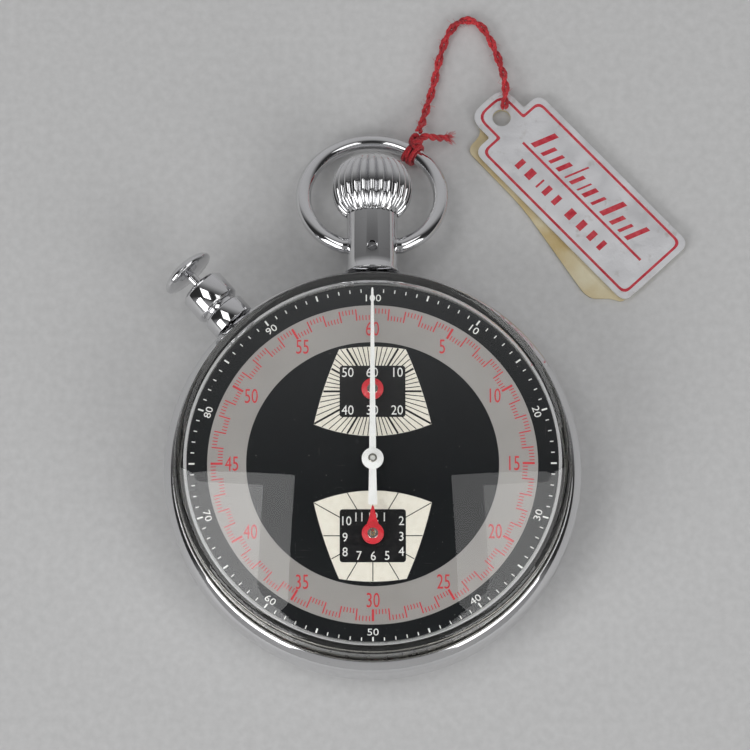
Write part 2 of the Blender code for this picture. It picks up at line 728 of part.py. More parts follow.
def dial():
    low = DIAL_Z - RECORDER_HEIGHT - PLATE_T * 0.6
    holes = [circle(DIAL_HOLE_R, 12, at) for at in (CENTRE, MINUTES_AT, HOURS_AT)]
    made = flat("dial", [circle(DIAL_R, CASE_STEPS)] + holes, DIAL_Z, DIAL_T, BLACK_DIAL)
    feet = [
        rod(f"dial_foot_{i}", FOOT_R, low, DIAL_Z + DIAL_T / 2, at=(*at, 0))
        for i, at in enumerate(DIAL_FEET)
    ]
    return joined(made, feet)


def hub(name, radius, low, high, bore_top, at, finish=None):
    """A hand's hub, open below for its arbor."""
    return turned(name, [
        (0, high), (radius, high), (radius, low), (HAND_PIPE_R + RUN, low),
        (HAND_PIPE_R + RUN, bore_top), (0, bore_top),
    ], finish, 14, at)


def seconds_hand():
    """A long pointed blade that dips to its tip, on a raised hub with a short tail."""
    low = DIAL_TOP_Z + HAND_RISE
    reach, tail, dip = 23.8 * mm, -6.2 * mm, 1.2 * mm
    mesh = bpy.data.meshes.new("seconds_hand")
    shape = bmesh.new()
    bmesh.ops.create_grid(shape, x_segments=1, y_segments=12, size=0.5)
    for point in shape.verts:
        along = point.co.y + 0.5
        y = tail + (reach - tail) * along
        if y < 0:
            half = 0.46 * mm + 0.14 * mm * y / tail
        else:
            half = 0.46 * mm - 0.17 * mm * y / reach
        if along > 0.999:
            half = 0.05 * mm
        point.co = (math.copysign(half, point.co.x), y, -dip * max(y / reach, 0) ** 2)
    bmesh.ops.recalc_face_normals(shape, faces=shape.faces)
    solid = bmesh.ops.extrude_face_region(shape, geom=list(shape.faces))
    for item in solid["geom"]:
        if isinstance(item, bmesh.types.BMVert):
            item.co.z += HAND_T
    bmesh.ops.recalc_face_normals(shape, faces=shape.faces)
    shape.to_mesh(mesh)
    shape.free()
    made = place("seconds_hand", mesh, WHITE_PAINT, (0, 0, low))
    disc = turned("seconds_hand_hub", [
        (0, low + 0.45 * mm), (0.58 * mm, low + 0.45 * mm), (0.62 * mm, low + 0.3 * mm),
        (1.42 * mm, low + 0.3 * mm), (1.42 * mm, low - 0.05 * mm), (0.6 * mm, low - 0.05 * mm),
        (0.6 * mm, low - 0.5 * mm), (0, low - 0.5 * mm),
    ], None, 16)
    bore = rod("seconds_hand_bore", HAND_PIPE_R + RUN, low - mm, low + 0.1 * mm)
    return cut(joined(made, [disc]), [bore])


def small_hand(name, at, length, base, finish):
    """A small hand: a disc and a pointer towards twelve, on a short pipe."""
    low = DIAL_TOP_Z + SMALL_HAND_RISE
    disc_r = 1.43 * mm
    pointer = [(-base, 0.5 * mm), (base, 0.5 * mm), (0.06 * mm, length), (-0.06 * mm, length)]
    made = flat(name, [pointer], low, HAND_T, finish, at)
    disc = hub(name + "_hub", disc_r, low - 0.05 * mm, low + 0.25 * mm, low + 0.1 * mm, (*at, 0))
    return joined(made, [disc])


# Movement plates


def mainplate():
    """The plate that carries the movement, with its rim, posts and pillars."""
    top = PLATE_TOP_Z
    rim_in = DIAL_R - 0.35 * mm
    rim_out = PLATE_R + FLANGE
    made = turned("mainplate", [
        (0, top), (rim_in, top), (rim_in, DIAL_Z - FIT), (rim_out, DIAL_Z - FIT),
        (rim_out, PLATE_Z), (0, PLATE_Z),
    ], NICKEL, CASE_STEPS)
    posts = []
    for i, at in enumerate(PILLARS["train"] + PILLARS["barrel"]):
        posts.append(rod(f"pillar_{i}", PILLAR_R, TRAIN_Z + RUN, PLATE_Z + 0.3 * mm, at=(*at, 0)))
    for name, at, low in (("column", COLUMN_AT, BALANCE_Z - 0.15 * mm),
                          ("lever", LEVER_AT, LEVER_Z - 0.15 * mm),
                          ("brake", BRAKE_AT, BALANCE_Z - 0.1 * mm),
                          ("hammer", HAMMER_AT, HAMMER_Z - 0.2 * mm)):
        posts.append(rod(f"{name}_post", POST_R, low, PLATE_Z + 0.3 * mm, at=(*at, 0)))
    joined(made, posts)
    through = PLATE_Z - mm, top + mm
    blind = PLATE_Z - mm, PLATE_Z + PIVOT_LENGTH + 0.1 * mm
    holes = [(CENTRE, ARBOR_R, through), (MINUTES_AT, ARBOR_R, through),
             (HOURS_AT, ARBOR_R, through), (SECOND_AT, ARBOR_R, through)]
    holes += [(at, PIVOT_R, blind) for at in (THIRD_AT, ESCAPE_AT, PALLET_AT, BALANCE_AT, BARREL_AT)]
    holes += [(at, FOOT_R, through) for at in DIAL_FEET]
    cutters = [
        rod(f"plate_hole_{i}", radius + RUN, low, high, at=(*at, 0))
        for i, (at, radius, (low, high)) in enumerate(holes)
    ]
    bore = PLATE_Z - 0.5 * mm
    for i, at in enumerate(PILLARS["train"] + PILLARS["barrel"]):
        cutters.append(rod(f"pillar_thread_{i}", SCREW_R + RUN, TRAIN_Z - mm, bore, at=(*at, 0)))
    wide = PINION_TIP_R + CLEAR
    cutters.append(box("pinion_notch", (-wide, WINDING_Y - 1.0 * mm, PLATE_Z - mm),
                       (wide, WINDING_Y + 1.3 * mm, STEM_Z + PINION_TIP_R + CLEAR)))
    for name, at, radius in (("idler_stud", MINUTE_IDLER_AT, PIVOT_R), ("hour_stud", HOUR_IDLER_AT, PIVOT_R)):
        cutters.append(rod(name + "_hole", radius + RUN, top - 0.7 * mm, top + mm, at=(*at, 0)))
    cutters.append(rod("foot_thread", SCREW_R + RUN, PLATE_Z - mm, PLATE_Z + 0.9 * mm,
                       at=(*COCK_FOOT, 0)))
    return cut(made, cutters)


POST_R = 0.55 * mm
LEVER_Z, LEVER_T = 6.65 * mm, 0.5 * mm


def bridge(name, discs, pillars, holes, notches=(), posts=()):
    made = flat(name, [hull(discs + [(at, 1.6 * mm) for at in pillars])], BRIDGE_Z, BRIDGE_T, NICKEL)
    joined(made, posts)
    cutters = [
        rod(f"{name}_hole_{i}", radius + RUN, BRIDGE_Z - mm, BRIDGE_Z + BRIDGE_T + mm, at=(*at, 0))
        for i, (at, radius) in enumerate(holes + [(at, SCREW_R) for at in pillars])
    ]
    return cut(made, cutters + list(notches))


def barrel_bridge():
    wide = PINION_TIP_R + CLEAR
    notch = box("bridge_notch", (-wide, WINDING_Y - 1.0 * mm, BRIDGE_Z - mm),
                (wide, PLATE_R, BRIDGE_Z + BRIDGE_T + mm))
    return bridge("barrel_bridge", [(BARREL_AT, 2.6 * mm), (CROWN_WHEEL_AT, 1.6 * mm), (MINUTES_AT, 1.1 * mm),
                  (CLICK_AT, 1.0 * mm)], PILLARS["barrel"],
                  [(BARREL_AT, BARREL_ARBOR_R), (MINUTES_AT, ARBOR_R), (CROWN_WHEEL_AT, SCREW_R)],
                  [notch], [rod("click_post", SCREW_R, WINDING_Z - 0.1 * mm, BRIDGE_Z + BRIDGE_T / 2,
                                at=(*CLICK_AT, 0))])


def train_bridge():
    return bridge("train_bridge", [(SECOND_AT, 1.3 * mm), (THIRD_AT, 1.2 * mm), (HOURS_AT, 1.2 * mm),
                  (PALLET_AT, 0.9 * mm)], PILLARS["train"],
                  [(SECOND_AT, PIVOT_R), (THIRD_AT, PIVOT_R), (ESCAPE_AT, PIVOT_R), (PALLET_AT, PIVOT_R),
                   (CENTRE, ARBOR_R), (HOURS_AT, ARBOR_R)])


def cock(name, at, foot, low, thickness, boss):
    """A cock: a plate from its foot to a pivot, the foot standing on the mainplate."""
    made = flat(name, [hull([(at, boss), (foot, 1.3 * mm)])], low, thickness, NICKEL)
    joined(made, [rod(name + "_foot", 1.3 * mm, low + thickness / 2, PLATE_Z - RUN, at=(*foot, 0))])
    return cut(made, [
        rod(name + "_jewel_hole", PIVOT_R + RUN, low - mm, low + thickness + mm, at=(*at, 0)),
        rod(name + "_screw_hole", SCREW_R + RUN, low - mm, PLATE_Z + mm, at=(*foot, 0)),
    ])


# Train


def arbor(name, at, low, high, low_pivot=True, high_pivot=True):
    """An arbor with a thinner pivot at each plain end."""
    profile = [(0, high + PIVOT_LENGTH * high_pivot)]
    if high_pivot:
        profile += [(PIVOT_R, high + PIVOT_LENGTH), (PIVOT_R, high)]
    profile += [(ARBOR_R, high), (ARBOR_R, low)]
    if low_pivot:
        profile += [(PIVOT_R, low), (PIVOT_R, low - PIVOT_LENGTH)]
    profile += [(0, low - PIVOT_LENGTH * low_pivot)]
    return turned(name, profile, None, 12, (*at, 0))


def wheel(name, at, gear, low, phase, parts, finish=BRASS, spokes=4, thickness=WHEEL_T):
    """A spoked wheel, made one solid with what else is on its arbor."""
    inner = pitch_radius(gear) - DEDENDUM * gear[1] - 0.55 * mm
    openings = windows(1.25 * mm, inner, spokes, 0.7 * mm) if inner > 2.4 * mm else []
    made = flat(name, [wheel_outline(gear, phase)] + openings, low, thickness, finish, at)
    return joined(made, parts)


def pinion(name, at, gear, low, high, phase=0.0):
    return flat(name, [pinion_outline(gear, phase)], low, high - low, None, at)


def train():
    """The going train, from the barrel's teeth to the escape wheel."""
    low, high = TRAIN_Z + 0.1 * mm, PLATE_Z - 0.1 * mm
    seconds_z, third_z, second_z = low + 0.55 * mm, low + 1.0 * mm, low + 1.6 * mm
    escape_z = low + 1.0 * mm
    pipe_top = DIAL_TOP_Z + HAND_RISE + 0.05 * mm
    staff = turned("seconds_staff", [
        (0, pipe_top), (HAND_PIPE_R, pipe_top), (HAND_PIPE_R, PLATE_TOP_Z + 0.3 * mm),
        (ARBOR_R, PLATE_TOP_Z + 0.3 * mm), (ARBOR_R, HAMMER_Z - 0.2 * mm), (0, HAMMER_Z - 0.2 * mm),
    ], None, ARBOR_STEPS)
    wheel("seconds_wheel", CENTRE, SECONDS_WHEEL, seconds_z, 0, [
        staff, pinion("seconds_pinion", CENTRE, SECONDS_PINION, third_z - RUN, third_z + 0.35 * mm)])
    phase = phase_to(CENTRE, SECONDS_WHEEL, 0, ESCAPE_AT, ESCAPE_PINION)
    made = flat("escape_wheel", [escape_outline()] + windows(0.8 * mm, 1.55 * mm, 4, 0.45 * mm, 2),
                escape_z, WHEEL_T, STEEL, ESCAPE_AT)
    joined(made, [
        arbor("escape_arbor", ESCAPE_AT, low, high),
        pinion("escape_pinion", ESCAPE_AT, ESCAPE_PINION, seconds_z - RUN, seconds_z + 0.4 * mm, phase),
    ])
    phase = phase_to(CENTRE, SECONDS_PINION, 0, THIRD_AT, THIRD_WHEEL)
    wheel("third_wheel", THIRD_AT, THIRD_WHEEL, third_z, phase, [
        arbor("third_arbor", THIRD_AT, low, high),
        pinion("third_pinion", THIRD_AT, THIRD_PINION, second_z - RUN, second_z + 0.32 * mm)])
    phase = phase_to(THIRD_AT, THIRD_PINION, 0, SECOND_AT, SECOND_WHEEL)
    staff = turned("second_staff", [
        (0, RECORDER_Z + 0.9 * mm), (ARBOR_R, RECORDER_Z + 0.9 * mm), (ARBOR_R, low),
        (PIVOT_R, low), (PIVOT_R, low - PIVOT_LENGTH), (0, low - PIVOT_LENGTH),
    ], None, ARBOR_STEPS, (*SECOND_AT, 0))
    wheel("second_wheel", SECOND_AT, SECOND_WHEEL, second_z, phase, [
        staff, pinion("second_pinion", SECOND_AT, SECOND_PINION, low + 0.05 * mm, low + 0.6 * mm)])


def escape_outline():
    """Fifteen leaning pointed teeth."""
    return ring_points(15, 0, ((ESCAPE_R, 0), (ESCAPE_R * 0.97, 0.1), (ESCAPE_R * 0.76, 0.28),
                               (ESCAPE_R * 0.76, 0.8)))


RECORDER_Z = PLATE_TOP_Z + 0.35 * mm


def barrel():
    """The barrel: a toothed drum, its cover, the arbor and the mainspring."""
    low = TRAIN_Z + 0.15 * mm
    high = low + BARREL_T
    outer = pitch_radius(BARREL_TEETH) - 0.9 * mm
    inner = outer - BARREL_WALL
    phase = phase_to(SECOND_AT, SECOND_PINION, 0, BARREL_AT, BARREL_TEETH)
    opening = circle(BARREL_ARBOR_R + RUN, 16)
    made = flat("barrel", [wheel_outline(BARREL_TEETH, phase), opening], low, 0.4 * mm, BRASS, BARREL_AT)
    wall = turned("barrel_wall", [(outer, high), (outer, low + 0.2 * mm), (inner, low + 0.2 * mm),
                                  (inner, high)], None, 28, (*BARREL_AT, 0))
    joined(made, [wall])
    turned("barrel_cover", [(outer, high + 0.2 * mm), (outer, high + RUN),
                            (BARREL_ARBOR_R + RUN, high + RUN),
                            (BARREL_ARBOR_R + RUN, high + 0.2 * mm)], BRASS, 28, (*BARREL_AT, 0))
    hub_low, hub_high = low + 0.4 * mm + RUN, high - RUN
    arbor_r = BARREL_ARBOR_R
    turned("barrel_arbor", [
        (0, PLATE_Z + PIVOT_LENGTH), (PIVOT_R, PLATE_Z + PIVOT_LENGTH), (PIVOT_R, PLATE_Z - 0.1 * mm),
        (arbor_r, PLATE_Z - 0.1 * mm), (arbor_r, hub_high), (BARREL_HUB_R, hub_high), (BARREL_HUB_R, hub_low),
        (arbor_r, hub_low), (arbor_r, WINDING_Z + 0.1 * mm), (0, WINDING_Z + 0.1 * mm),
    ], STEEL, 16, (*BARREL_AT, 0))
    turns, per_turn = 3, 12
    first, last, strip = BARREL_HUB_R + 0.3 * mm, inner - 0.5 * mm, 0.22 * mm
    path = [(first + (last - first) * i / (turns * per_turn), TURN * i / per_turn)
            for i in range(turns * per_turn + 1)]
    edge = [(r * math.cos(a), r * math.sin(a)) for r, a in path]
    other = [((r + strip) * math.cos(a), (r + strip) * math.sin(a)) for r, a in reversed(path)]
    flat("mainspring", [edge + other], hub_low, hub_high - hub_low, BLUE_STEEL, BARREL_AT)


BARREL_HUB_R = 1.6 * mm


def ringed(name, at, outline, low, thickness, finish, bore):
    """A flat piece on an arbor or post, with its bore."""
    return flat(name, [outline, circle(bore + RUN, 12)], low, thickness, finish, at)


def heart(name, at):
    """A heart cam, which the reset hammer turns to its lowest point."""
    outline = [
        (HEART_R * share * math.cos(angle), HEART_R * share * math.sin(angle))
        for angle, share in ((TURN * i / 16, 0.5 + 0.5 * abs(i - 8) / 8) for i in range(16))
    ]
    return ringed(name, at, outline, HAMMER_Z, HAMMER_T, STEEL, ARBOR_R)


def recorders():
    """The wheels under the dial, which turn the two small hands, and their hearts."""
    z, high_z = RECORDER_Z, RECORDER_Z + 0.42 * mm
    driver = RECORDER_DRIVER
    ringed("recorder_driver", SECOND_AT, wheel_outline(driver), z, 0.72 * mm, BRASS, ARBOR_R)
    idler_phase = phase_to(SECOND_AT, driver, 0, MINUTE_IDLER_AT, MINUTE_IDLER)
    wheel("minute_idler", MINUTE_IDLER_AT, MINUTE_IDLER, high_z, idler_phase, [
        turned("minute_idler_stud", [(0, high_z + 0.5 * mm), (ARBOR_R, high_z + 0.5 * mm),
               (ARBOR_R, PLATE_TOP_Z + 0.1 * mm), (PIVOT_R, PLATE_TOP_Z + 0.1 * mm),
               (PIVOT_R, PLATE_TOP_Z - 0.5 * mm), (0, PLATE_TOP_Z - 0.5 * mm)], None, ARBOR_STEPS,
               (*MINUTE_IDLER_AT, 0))])
    phase = phase_to(MINUTE_IDLER_AT, MINUTE_IDLER, idler_phase, MINUTES_AT, MINUTE_WHEEL)
    pipe_top = DIAL_TOP_Z + SMALL_HAND_RISE + 0.05 * mm
    for name, at, gear, low, turn in (("minute_wheel", MINUTES_AT, MINUTE_WHEEL, high_z, phase),
                                      ("hour_wheel", HOURS_AT, HOUR_WHEEL, high_z, None)):
        if turn is None:
            turn = phase_to(HOUR_IDLER_AT, HOUR_IDLER_PINION, 0, HOURS_AT, HOUR_WHEEL)
        wheel(name, at, gear, low, turn, [turned(name + "_staff", [
            (0, pipe_top), (HAND_PIPE_R, pipe_top), (HAND_PIPE_R, high_z + 0.4 * mm),
            (ARBOR_R, high_z + 0.4 * mm), (ARBOR_R, HAMMER_Z - 0.2 * mm), (0, HAMMER_Z - 0.2 * mm),
        ], None, ARBOR_STEPS, (*at, 0))])
    phase = phase_to(SECOND_AT, driver, 0, HOUR_IDLER_AT, HOUR_IDLER)
    wheel("hour_idler", HOUR_IDLER_AT, HOUR_IDLER, z, phase, [
        turned("hour_idler_stud", [(0, high_z + 0.55 * mm), (ARBOR_R, high_z + 0.55 * mm),
               (ARBOR_R, PLATE_TOP_Z + 0.1 * mm), (PIVOT_R, PLATE_TOP_Z + 0.1 * mm),
               (PIVOT_R, PLATE_TOP_Z - 0.5 * mm), (0, PLATE_TOP_Z - 0.5 * mm)], None, ARBOR_STEPS,
               (*HOUR_IDLER_AT, 0)),
        pinion("hour_idler_pinion", HOUR_IDLER_AT, HOUR_IDLER_PINION, high_z - RUN, high_z + 0.4 * mm)])
    for name, at in (("seconds_heart", CENTRE), ("minute_heart", MINUTES_AT), ("hour_heart", HOURS_AT)):
        heart(name, at)


# Escapement


def escapement():
    """The pallet fork, the balance on its staff, and the hairspring."""
    z = TRAIN_Z + 1.1 * mm
    toward = Vector((math.cos(ESCAPE_BEARING), math.sin(ESCAPE_BEARING)))
    across = Vector((-toward.y, toward.x))
    reach = BALANCE_REACH - PALLET_REACH - ROLLER_R - 0.25 * mm

    def local(along, side):
        return tuple(along * toward + side * across)

    fork = flat("pallet_fork", [[
        local(reach, 0.55 * mm), local(reach - 0.4 * mm, 0.16 * mm), local(reach, -0.55 * mm),
        local(reach - 0.7 * mm, -0.3 * mm), local(0.5 * mm, -0.35 * mm), local(0.1 * mm, -1.7 * mm),
        local(-0.45 * mm, -1.7 * mm), local(-0.4 * mm, -0.5 * mm), local(-0.4 * mm, 0.5 * mm),
        local(-0.45 * mm, 1.7 * mm), local(0.1 * mm, 1.7 * mm), local(0.5 * mm, 0.35 * mm),
        local(reach - 0.7 * mm, 0.3 * mm),
    ]], z, 0.25 * mm, STEEL, PALLET_AT)
    joined(fork, [arbor("pallet_arbor", PALLET_AT, TRAIN_Z + 0.1 * mm, PLATE_Z - 0.1 * mm)])

    rim = flat("balance", [circle(BALANCE_R, 32)] + windows(0.9 * mm, BALANCE_R - 0.75 * mm, 3, 0.7 * mm, 4),
               BALANCE_Z, BALANCE_T, BRASS, BALANCE_AT)
    joined(rim, [
        arbor("balance_staff", BALANCE_AT, COCK_Z + COCK_T + 0.1 * mm, PLATE_Z - 0.1 * mm),
        rod("roller", ROLLER_R, z - 0.1 * mm, z + 0.35 * mm, steps=16, at=(*BALANCE_AT, 0)),
    ])
    turns, per_turn, strip = 3, 12, 0.12 * mm
    first, last = ARBOR_R + 0.35 * mm, 2.6 * mm
    path = [(first + (last - first) * i / (turns * per_turn), TURN * i / per_turn)
            for i in range(turns * per_turn + 1)]
    edge = [(r * math.cos(a), r * math.sin(a)) for r, a in path]
    other = [((r + strip) * math.cos(a), (r + strip) * math.sin(a)) for r, a in reversed(path)]
    flat("hairspring", [edge + other], HAIRSPRING_Z + RUN, HAIRSPRING_T, BLUE_STEEL, BALANCE_AT)
    cock("balance_cock", BALANCE_AT, COCK_FOOT, COCK_Z, COCK_T, 1.4 * mm)


ROLLER_R = 0.8 * mm


# Winding and control work


def winding():
    """The winding pinion on the stem, the crown wheel, the ratchet wheel and its click."""
    width = 1.1 * mm
    down = -math.pi / 2
    flat("winding_pinion", [pinion_outline(WINDING_PINION, down), circle(STEM_R + RUN, 12)],
         WINDING_Y - width / 2 + 0.15 * mm, width, STEEL, (0, 0, STEM_Z), (0, 1, 0))
    gap = math.pi / 2 - TURN / CROWN_WHEEL[0] / 2
    ringed("crown_wheel", CROWN_WHEEL_AT, wheel_outline(CROWN_WHEEL, gap), WINDING_Z, WINDING_T,
           STEEL, CROWN_SCREW_R)
    phase = phase_to(CROWN_WHEEL_AT, CROWN_WHEEL, gap, RATCHET_AT, RATCHET_WHEEL)
    ringed("ratchet_wheel", RATCHET_AT, wheel_outline(RATCHET_WHEEL, phase), WINDING_Z, WINDING_T,
           STEEL, BARREL_ARBOR_R)
    tooth = RATCHET_AT - CLICK_AT
    tip = CLICK_AT + tooth.normalized() * (tooth.length - pitch_radius(RATCHET_WHEEL)
                                           - ADDENDUM * RATCHET_WHEEL[1] - 0.15 * mm)
    beak = hull([((0, 0), 0.85 * mm), (tip - CLICK_AT, 0.12 * mm)], 12)
    ringed("click", CLICK_AT, beak, WINDING_Z, WINDING_T, STEEL, SCREW_R)


CROWN_SCREW_R = 0.9 * mm


def limb(chain):
    """The outline round a chain of (point, half width), with round ends."""
    spots = [Vector(point) for point, _ in chain]
    sides = []
    for way in (1, -1):
        ordered = list(zip(spots, (half for _, half in chain)))[::way]
        for i, (spot, half) in enumerate(ordered):
            before = (spot - ordered[i - 1][0]).normalized() if i else None
            after = (ordered[i + 1][0] - spot).normalized() if i < len(ordered) - 1 else None
            if before and after:
                middle = (before + after).normalized()
                sides.append(spot + Vector((-middle.y, middle.x)) * half / max(0.5, middle.dot(after)))
            elif before:
                bearing = math.atan2(before.y, before.x)
                sides += [polar(spot, half, bearing + math.pi / 2 - math.pi * k / 5) for k in range(5)]
            else:
                sides.append(spot + Vector((-after.y, after.x)) * half)
    return [tuple(side) for side in sides][::-1]


def lever(name, pivot, low, thickness, chains, finish=STEEL, hub_r=1.05 * mm):
    """A flat lever with a raised hub, each chain of its arms a little thinner than the last."""
    body = flat(name, [circle(hub_r, 16)], low, thickness, finish, pivot)
    pieces = []
    for number, chain in enumerate(chains):
        thin = LEVER_STEP * (number + 1)
        outline = limb([(point - pivot, half) for point, half in chain])
        pieces.append(flat(f"{name}_arm_{number}", [outline], low + thin, thickness - 2 * thin, None, pivot))
    joined(body, pieces)
    return cut(body, [rod(name + "_bore", POST_R + RUN, low - mm, low + thickness + mm, at=(*pivot, 0))])


LEVER_STEP = 0.04 * mm


def control_work():
    """The column wheel, the lever that turns it, the brake on the balance and the reset hammer."""
    ratchet = ring_points(12, 0, ((COLUMN_R, 0), (COLUMN_R * 0.82, 0.15)))
    made = flat("column_wheel", [ratchet], COLUMN_RATCHET_Z, 0.4 * mm, STEEL, COLUMN_AT)
    columns = flat("columns", [ring_points(6, 0, ((COLUMN_R * 0.78, -0.22), (COLUMN_R * 0.78, 0.22),
                                                  (COLUMN_R * 0.45, 0.3), (COLUMN_R * 0.45, 0.7)))],
                   BALANCE_Z, COLUMN_RATCHET_Z + 0.2 * mm - BALANCE_Z, None, COLUMN_AT)
    joined(made, [columns])
    cut(made, [rod("column_bore", POST_R + RUN, BALANCE_Z - mm, PLATE_Z, at=(*COLUMN_AT, 0))])

    tip = Vector((0.3 * mm, STEM_END_Y - 0.7 * mm - RUN))
    hook = COLUMN_AT + Vector((COLUMN_R + 1.45 * mm, 0.6 * mm))
    elbow = hook + Vector((0.2 * mm, 2.6 * mm))
    lever("operating_lever", LEVER_AT, LEVER_Z, LEVER_T, [
        [(tip, 0.6 * mm), (LEVER_AT, 0.8 * mm), (elbow, 0.45 * mm), (hook, 0.3 * mm)],
    ])

    toward_rim = (BRAKE_AT - BALANCE_AT).normalized()
    shoe = BALANCE_AT + toward_rim * (BALANCE_R + 0.9 * mm)
    nose = COLUMN_AT + Vector((-COLUMN_R * 0.35, -COLUMN_R - 0.9 * mm))
    lever("brake_lever", BRAKE_AT, BALANCE_Z + 0.05 * mm, 0.5 * mm, [
        [(nose, 0.35 * mm), (BRAKE_AT, 0.8 * mm), (shoe, 0.45 * mm)],
    ])

    tab = Vector((PUSHER_OUT.x, PUSHER_OUT.y)) * HAMMER_TAB_R
    lift = PUSHER_TRAVEL / (tab - HAMMER_AT).length
    faces = []
    for at in (MINUTES_AT, CENTRE, HOURS_AT):
        swing = (HAMMER_AT.y - at.y) * lift
        faces.append(at + Vector((-HEART_R - 0.25 * mm - swing - 0.5 * mm, 0)))
    lean = (faces[2] - HAMMER_AT).normalized()
    made = lever("reset_hammer", HAMMER_AT, HAMMER_Z, HAMMER_T, [
        [(tab, 0.8 * mm), (HAMMER_AT, 1.0 * mm), (HAMMER_AT + lean * 9.0 * mm, 0.7 * mm), (faces[2], 0.5 * mm)],
        [(HAMMER_AT + lean * 9.0 * mm, 0.4 * mm), (faces[0], 0.5 * mm)],
        [(HAMMER_AT + lean * 18.6 * mm, 0.35 * mm), (faces[1], 0.5 * mm)],
    ])
    joined(made, [rod("hammer_tab", 0.6 * mm, HAMMER_Z + HAMMER_T / 2, STEM_Z + 0.5 * mm,
                      at=(*tab, 0))])


COLUMN_R = 2.4 * mm
COLUMN_RATCHET_Z = 6.75 * mm


def screws():
    for i, at in enumerate(PILLARS["train"] + PILLARS["barrel"]):
        slotted_screw(f"bridge_screw_{i + 1}", SCREW_HEAD_R, -(BRIDGE_Z - RUN), SCREW_HEAD_T, SCREW_R - RUN,
                      -(PLATE_Z - 0.6 * mm), (*at, 0), facing=(0, 0, -1), turn=0.5 * i)
    slotted_screw("cock_screw", SCREW_HEAD_R, -(COCK_Z - RUN), SCREW_HEAD_T, SCREW_R - RUN,
                  -(PLATE_Z + 0.8 * mm), (*COCK_FOOT, 0), facing=(0, 0, -1))
    slotted_screw("crown_wheel_screw", 1.9 * mm, -(WINDING_Z - RUN), 0.5 * mm, SCREW_R - RUN,
                  -(BRIDGE_Z + BRIDGE_T), (*CROWN_WHEEL_AT, 0), facing=(0, 0, -1))
    slotted_screw("ratchet_screw", 1.9 * mm, -(WINDING_Z - RUN), 0.5 * mm, 0.1 * mm,
                  -(WINDING_Z - RUN), (*RATCHET_AT, 0), facing=(0, 0, -1), turn=1.1)
    slotted_screw("pendant_screw", PENDANT_SCREW_R - RUN, PENDANT_R - 0.65 * mm, 0.5 * mm, 0.3 * mm,
                  PENDANT_R - 0.65 * mm, (0, PENDANT_Y + PENDANT_SCREW_Y, STEM_Z), turn=0.3)


# Tag and string


def smooth_route(points, spacing):
    """Evenly spaced points on a smooth curve through the given ones."""
    dense = []
    padded = [2 * points[0] - points[1]] + points + [2 * points[-1] - points[-2]]
    for before, a, b, after in zip(padded, padded[1:], padded[2:], padded[3:]):
        for k in range(12):
            t = k / 12
            dense.append(0.5 * ((2 * a) + (b - before) * t + (2 * before - 5 * a + 4 * b - after) * t**2
                                + (3 * a - before - 3 * b + after) * t**3))
    dense.append(points[-1])
    kept, run = [dense[0]], 0.0
    for a, b in zip(dense, dense[1:]):
        run += (b - a).length
        if run >= spacing:
            kept.append(b)
            run = 0.0
    kept[-1] = dense[-1]
    return kept


def string():
    return wire("string", smooth_route(STRING_ROUTE, 3 * STRING_R), STRING_R, STRING_RED)


def string_knot():
    """A turn of one strand round the bow's wire, and the knot's lump on top of it."""
    at, along = on_bow(KNOT_ANGLE)
    reach = BOW_WIRE_R + STRAND_R + 0.07 * mm
    loop = wire("string_knot", [
        (reach * math.cos(TURN * i / 12), reach * math.sin(TURN * i / 12), 0) for i in range(12)
    ], STRAND_R, None, closed=True)
    loop.location = at
    loop.rotation_euler = Vector((0, 0, 1)).rotation_difference(along).to_euler()
    loop = as_mesh(loop, STRING_RED)
    mesh = bpy.data.meshes.new("knot_lump")
    shape = bmesh.new()
    bmesh.ops.create_icosphere(shape, subdivisions=1, radius=KNOT_R)
    shape.to_mesh(mesh)
    shape.free()
    lump = place("knot_lump", mesh, None, at + KNOT_OUT.normalized() * (BOW_WIRE_R + KNOT_R + RUN))
    return joined(loop, [lump])


STRAND_R = 0.3 * mm
KNOT_ANGLE = math.radians(36.7)
KNOT_R = 0.95 * mm
KNOT_OUT = Vector((0.15, 0.55, 0.8))


def tag_outline(grow=0.0):
    """A card with cut corners and a narrower tab for the hole, which is at its origin."""
    half, tab = TAG_WIDTH / 2, TAG_TAB_WIDTH / 2
    start = TAG_TAB_LENGTH - tab
    end = start + TAG_LENGTH
    bevel = 1.1 * mm
    return [
        (start, half - bevel), (start + 0.5 * bevel, half - 0.2 * bevel), (start + 1.3 * bevel, half),
        (end - bevel, half), (end, half - bevel), (end, bevel - half), (end - bevel, -half),
        (start + 1.3 * bevel, -half), (start + 0.5 * bevel, 0.2 * bevel - half), (start, bevel - half),
        (start - 0.2 * mm, -tab), (0, -tab), (-0.7 * tab, -0.7 * tab), (-tab, 0), (-0.7 * tab, 0.7 * tab),
        (0, tab), (start - 0.2 * mm, tab),
    ]


def leaf_outline():
    """The leaf behind the card. Its lower side is creased and springs out from under it."""
    half, tab = TAG_WIDTH / 2, TAG_TAB_WIDTH / 2
    start = TAG_TAB_LENGTH - tab
    end = start + TAG_LENGTH
    return [
        (start + 1.0 * mm, half - 0.4 * mm), (end - 1.0 * mm, half - 0.4 * mm), (end - 0.4 * mm, half - 1.2 * mm),
        (end - 0.4 * mm, -half), (end - 1.8 * mm, -half - 0.8 * mm), (end - 3.6 * mm, -half - 2.7 * mm),
        (end - 5.0 * mm, -half - 2.9 * mm), (start + 10.0 * mm, -half - 0.5 * mm),
        (start - 0.2 * mm, -half - 0.4 * mm), (start - 0.9 * mm, -half + 0.3 * mm), (start - 1.2 * mm, -tab - 0.4 * mm),
        (-0.7 * tab, -0.7 * tab), (-tab, 0), (-0.7 * tab, 0.7 * tab), (0, tab), (start, tab),
    ]


